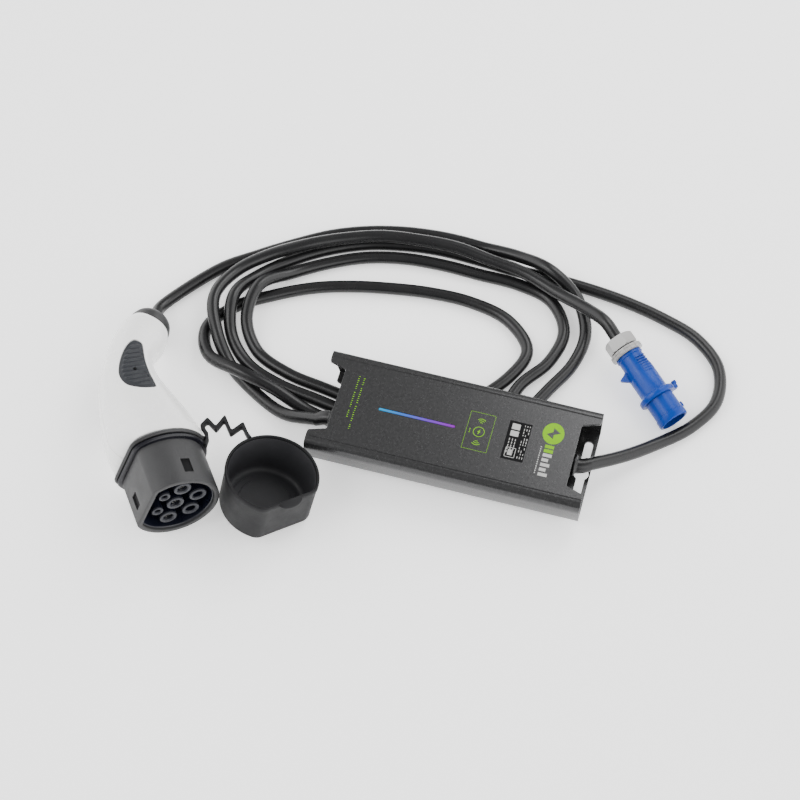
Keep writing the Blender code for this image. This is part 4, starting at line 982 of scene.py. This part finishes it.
def build_gland(side, route):
    """The soft relief: a collar, then a sleeve that bends towards the cable and gets thinner."""
    end, base, lead, tip, heading = gland_path(side, route)
    rings = []

    def ring(centre, aim, radius):
        aim = aim.normalized()
        across = Vector((0.0, 0.0, 1.0)).cross(aim).normalized()
        up = aim.cross(across)
        rings.append([centre + (across * cos(t) + up * sin(t)) * radius
                      for t in (2 * pi * i / 32 for i in range(32))])

    straight = Vector((end, 0.0, 0.0))
    for along, radius in ((-0.006, 0.0062), (-0.0024, 0.0062), (-0.0024, 0.0076),
                          (-0.002, 0.008), (-0.001, 0.008), (-0.0005, 0.0076), (0.0, 0.0062)):
        ring(base + straight * along, straight, radius)
    for i in range(1, 17):
        t = i / 16
        spot = base * (1 - t) ** 2 + lead * 2 * t * (1 - t) + tip * t * t
        aim = (lead - base) * (1 - t) + (tip - lead) * t if t < 1 else heading
        ring(spot, aim, 0.0058 + (0.0051 - 0.0058) * t ** 0.7)
    ring(tip - heading * 0.0001, heading, 0.0049)
    piece(f"relief_{side}", loft(rings), BOX, "cable_rubber", [f"cable_gland_{side}"],
          smooth=50.0)


def flat_mark(outline, lift=PRINT_LIFT):
    return prism(outline, BOX_HEIGHT - 0.0003, BOX_HEIGHT + lift)


def box_mark(x0, y0, x1, y1, lift=PRINT_LIFT):
    return flat_mark([(x0, y0), (x1, y0), (x1, y1), (x0, y1)], lift)


def arc_mark(centre, radius, width, start, end, steps=16):
    outer = arc(centre, radius + width / 2, start, end, steps)
    inner = arc(centre, radius - width / 2, end, start, steps)
    return flat_mark(outer + inner)


def dashes(start, end, count):
    """Start and length of the dashes of a broken line."""
    step = (end - start) / count
    return [(start + (end - start) * k / count, step * 0.62) for k in range(count)]


def down(start, pitch, count):
    return [start - pitch * k for k in range(count)]


def build_frame_print():
    """A dashed frame, with a ring and a bolt between waves, and three dots beside it."""
    xs, ys, half = (0.0087, 0.0272), (-0.015, 0.016), 0.00032 / 2
    marks = [box_mark(x, y - half, x + length, y + half)
             for x, length in dashes(*xs, 16) for y in ys]
    marks += [box_mark(x - half, y, x + half, y + length)
              for y, length in dashes(*ys, 26) for x in xs]
    centre, line = (0.018, 0.0004), 0.00045
    marks += [arc_mark(centre, 0.004, line, start, start + 180) for start in (0, 180)]
    bolt = [(0.001, 0.0024), (-0.0013, -0.0002), (-0.0002, -0.0002), (-0.0008, -0.0024),
            (0.0013, 0.0004), (0.0002, 0.0004)]
    marks.append(flat_mark(shifted(*centre, bolt)))
    for sign in (1, -1):
        spot = (centre[0], centre[1] + sign * 0.0064)
        marks += [arc_mark(spot, 0.0014 + 0.0015 * k, line, 90 * sign - 42, 90 * sign + 42)
                  for k in range(3)]
    return marks + [box_mark(0.0108, -0.0016 + 0.0014 * k, 0.0116, -0.001 + 0.0014 * k)
                    for k in range(3)]


def build_print():
    """Print on the lid, all of it plain: a dashed frame, rows of ticks where there are words, a
    rating block, and a disc with a bolt and bars."""
    lime = build_frame_print()
    for row, (x, top, count) in enumerate(((-0.0778, 0.0225, 21), (-0.0738, 0.0217, 26))):
        for k, start in enumerate(down(top, 0.00172, count)):
            if (k * 7 + row * 3) % 9 != 4:
                tall = 0.0006 if (k * 5 + row) % 3 else 0.0004
                lime.append(box_mark(x, start - tall, x + 0.0011 * (0.7 if k % 2 else 1.0), start))
    disc = (0.0704, 0.013)
    oval = [(0.0078 * x, 0.0088 * y) for x, y in round_outline(1.0, 60)]
    lime.append(flat_mark(shifted(*disc, oval)))
    lime += [box_mark(0.0668, top - 0.0026, 0.0734, top) for top in (0.003, -0.0006)]
    piece("lime_marks", joined(lime), BOX, "lime_print")
    bolt = [(0.005, 0.0014), (-0.0004, 0.0046), (-0.0004, 0.0012), (-0.0048, -0.0014),
            (0.0004, -0.0044), (0.0004, -0.001)]
    piece("badge_bolt", flat_mark(shifted(*disc, bolt), 2 * PRINT_LIFT), BOX, "dark_aluminium")
    white = [box_mark(0.0668, top - 0.0026, 0.0716 if k % 2 else 0.0734, top)
             for k, top in enumerate(down(-0.0042, 0.004, 5))]
    white += [box_mark(0.064, top - 0.0011, 0.0647, top) for top in down(0.001, 0.0018, 13)]
    white += [box_mark(x, top - 0.0017, x + 0.0006, top)
              for x in (0.0404, 0.0426, 0.0448) for top in down(0.0015, 0.0026, 5)]
    for x in (0.0492, 0.051, 0.0528):
        for k, top in enumerate(down(0.0142, 0.0026, 11)):
            if (k + int(x * 1e4)) % 5 != 1:
                tall = 0.0018 if k % 3 else 0.0011
                white.append(box_mark(x, top - tall, x + 0.0005, top))
    for x, y, wide, high in ((0.0402, 0.0092, 0.006, 0.0048), (0.0402, 0.0036, 0.006, 0.0044),
                             (0.0398, -0.014, 0.0076, 0.0004), (0.0398, -0.0062, 0.0076, 0.0004),
                             (0.0398, -0.014, 0.0004, 0.0082), (0.047, -0.014, 0.0004, 0.0082),
                             (0.0418, -0.0122, 0.0034, 0.0046)):
        white.append(box_mark(x, y, x + wide, y + high))
    piece("white_marks", joined(white), BOX, "white_print")
    panel = box_mark(0.0378, -0.016, 0.0542, 0.016, PRINT_LIFT / 3)
    piece("rating_panel", panel, BOX, "black_plastic")


# Plug

def build_nut():
    """The hexagon nut: both ends are chamfered, and the cable's hole goes in at the back."""
    corner = NUT_ACROSS / 2 / cos(pi / 6)
    front = FIT + NUT_LENGTH
    hexagon = [(corner * cos(pi * (i + 0.5) / 3), corner * sin(pi * (i + 0.5) / 3))
               for i in range(6)]
    shave = shifted(0.0, corner, [(-0.002, -0.004), (FIT, -0.0014), (FIT + 0.0012, 0.0001),
                                  (FIT + 0.0012, 0.004), (-0.002, 0.004)])
    trim = shifted(front, corner, [(-0.001, 0.0001), (0.0, -0.0012), (0.002, -0.0012),
                                   (0.002, 0.004), (-0.001, 0.004)])
    hole = turned([(-0.01, 0.0), (-0.01, 0.0053), (FIT + 0.001, 0.0053), (FIT + 0.0022, 0.0049),
                   (FIT + 0.0022, 0.0)], 40)
    cutters = [turned(shave, 64, closed=True), turned(trim, 64, closed=True), hole]
    nut = carved("plug_nut", prism(hexagon, FIT, front, "X"), cutters)
    return piece("plug_nut", nut, PLUG, "pale_plastic", ["gland_nut"], 25.0, bevel=0.0003)


def build_ring(place):
    """The ring behind the nut, with fine notches all round, and a black disc in the gap between
    them as painted shade.
    """
    wide, end = NUT_RING, NUT_RING_LENGTH
    path = [(0.0006, 0.0046), (0.0006, wide - 0.001), (0.0009, wide - 0.0003), (0.0014, wide),
            (0.0022, wide), (0.0025, wide - 0.0003), (0.0028, wide), (end - 0.001, wide),
            (end - 0.0003, wide - 0.0003), (end, wide - 0.0012), (end, 0.0046)]
    rings = []
    for x, radius in shifted(place, 0.0, path):
        notch = 0.0005 if radius > wide - 0.001 else 0.0
        rings.append([(x, (radius - (0.0 if i % 6 else notch)) * y,
                       (radius - (0.0 if i % 6 else notch)) * z)
                      for i, (y, z) in enumerate(round_outline(1.0, 96))])
    # Painted shade: a black disc fills the gap between the nut and the ring, so that the gap shows
    # as a dark line.
    groove = NUT_ACROSS / 2 + 0.0004
    line = [(-0.0006, 0.0), (-0.0006, groove), (0.0007, groove), (0.0007, 0.0)]
    return [piece("plug_ring", loft(rings), PLUG, "pale_plastic", ["gland_ring"], 30.0),
            piece("nut_gap_shade", turned(shifted(place, 0.0, line), 48), PLUG, "black_plastic")]


def build_plug():
    """The plug: its nut and ring, the ribbed body with its wing and hook, and its sleeve."""
    place = NUT_LENGTH + 2 * FIT
    made = [build_nut(), *build_ring(place)]
    place += NUT_RING_LENGTH + FIT
    flange = PLUG_LENGTH - PLUG_SLEEVE_LENGTH - FIT
    neck, wide, rim = PLUG_NECK, PLUG_BODY, PLUG_FLANGE
    body = [(place, 0.0)] + shifted(place, neck, [(0.0, 0.0004), (0.0022, 0.0008), (0.0028, 0.0),
                                                  (0.009, 0.0001)])
    body += shifted(place, wide, [(0.012, -0.0005), (0.015, 0.0)])
    body += shifted(flange, wide, [(-0.0062, 0.0001), (-0.0052, 0.0008)])
    body += shifted(flange, rim, [(-0.0044, -0.001), (-0.0038, -0.0002), (-0.003, 0.0),
                                  (-0.0008, 0.0), (-0.0002, -0.0003), (0.0, -0.001)])
    body.append((flange, 0.0))
    wing = [(0.0245, 0.0), (0.0345, 0.0), (0.0345, -0.0108), (0.0318, -0.015), (0.0305, -0.0168),
            (0.029, -0.0165), (0.0276, -0.013), (0.0262, -0.0112)]
    shapes = [turned(body, 72), prism(wing, -0.0011, 0.0011, "Z")]
    turns = [radians(a) for a in range(44, 96, 6)]
    rib = ((-0.0004, -0.0012), (-0.0003, 0.0002), (0.0003, 0.0002), (0.0004, -0.0012))
    for k in range(7):
        x, radius = place + 0.0065 + 0.0021 * k, wide + 0.0002
        shapes.append(loft([[(x + dx, (radius + dr) * cos(t), (radius + dr) * sin(t))
                             for dx, dr in rib] for t in turns]))
    shapes += [block((flange - 0.0044, 0.011, -0.003), (flange - 0.0002, 0.0176, 0.003), 0.0009),
               block((flange - 0.0066, 0.015, -0.0024), (flange - 0.0034, 0.0186, 0.0024), 0.0008)]
    made.append(piece("plug_shell", joined(shapes), PLUG, "blue_plastic", ["plug_body"], 40.0))
    start, end, wide = flange + FIT, PLUG_LENGTH, PLUG_SLEEVE
    inner = wide - PLUG_WALL
    sleeve = [(start, inner), (start, wide), *shifted(end, wide, [
        (-0.006, 0.0), (-0.0056, 0.0006), (-0.001, 0.0006), (-0.0003, 0.0003), (0.0, -0.0003)]),
        (end, inner + 0.0004), (end - 0.0004, inner)]
    shapes = [turned(sleeve, 72, closed=True),
              block((end - 0.0105, 0.01, -0.0016), (end - 0.0062, 0.0132, 0.0016), 0.0007)]
    made.append(piece("plug_skirt", joined(shapes), PLUG, "blue_plastic", ["plug_sleeve"], 40.0))
    return made


# Scene

def build_camera():
    made = placed("camera", bpy.data.cameras.new("camera"))
    place = (Matrix.Rotation(radians(CAMERA_TURN), 4, "Z")
             @ Matrix.Rotation(radians(90.0 - CAMERA_HEIGHT), 4, "X"))
    place.translation = on_floor(0.0, 0.0, 0.0) + place.to_3x3().col[2] * CAMERA_DISTANCE
    made.matrix_world = place
    made.data.sensor_width = SENSOR_WIDTH
    made.data.lens = CAMERA_LENS
    made.data.clip_end = 50.0
    bpy.context.scene.camera = made


def area_light(name, place, aim, size, power):
    light = bpy.data.lights.new(name, "AREA")
    light.shape = "DISK"
    light.size = size
    light.energy = power
    made = placed(name, light)
    made.location = place
    made.rotation_euler = (Vector(aim) - Vector(place)).to_track_quat("-Z", "Y").to_euler()


def build_stage():
    slab = block((-FLOOR_REACH, -FLOOR_REACH, -FLOOR_DEPTH), (FLOOR_REACH, FLOOR_REACH, 0.0))
    floor = placed("floor", mesh_of("floor", slab))
    pale = surface("pale_floor", (0.93, 0.93, 0.93), 0.7, 0.004, 0.0, mottle_size=0.5)
    adjust(pale.node_tree.nodes["Principled BSDF"], Emission_Color=(1.0, 1.0, 1.0, 1.0),
           Emission_Strength=FLOOR_GLOW)
    floor.data.materials.append(pale)
    world = bpy.data.worlds.new("studio")
    world.use_nodes = True
    tree = world.node_tree
    place = node(tree, "TexCoord")
    split = node(tree, "SeparateXYZ")
    sides = node(tree, "Math", operation="ABSOLUTE")
    sky = ramp_of(tree, [(at, (grey, grey, grey))
                         for at, grey in ((0.0, 0.13), (0.3, 0.17), (0.72, 1.0))])
    wire(place, "Generated", split, "Vector")
    wire(split, "X", sides, 0)
    wire(sides, 0, sky, "Fac")
    background = adjust(tree.nodes["Background"], Strength=STUDIO_STRENGTH)
    wire(sky, "Color", background, "Color")
    bpy.context.scene.world = world
    for light in (("key", (-0.9, -0.5, 1.5), (0.0, 0.05, 0.0), 0.9, 9.0),
                  ("back", (0.5, 1.5, 0.9), (0.05, 0.05, 0.0), 0.8, 5.0),
                  ("lid", (0.38, 0.78, 1.05), (0.16, 0.09, 0.03), 0.7, 6.0),
                  ("fill", (0.9, -1.0, 1.1), (0.0, 0.0, 0.0), 1.0, 4.0)):
        area_light(*light)


def main():
    build_camera()
    dress_nodes()
    vehicle_line = vehicle_route()
    supply_line = in_place(SUPPLY_ROUTE)
    vehicle_cable = cable("vehicle_cable", vehicle_line, "ev_cable")
    supply_cable = cable("mains_cable", supply_line, "supply_cable")
    for build in (build_nose, build_rings, build_contacts, build_handle, build_collar, build_cap,
                  build_housing, build_ends):
        build()
    build_gland("vehicle", vehicle_line)
    build_gland("supply", supply_line[::-1])
    build_print()
    plug = build_plug()
    build_stage()


main()
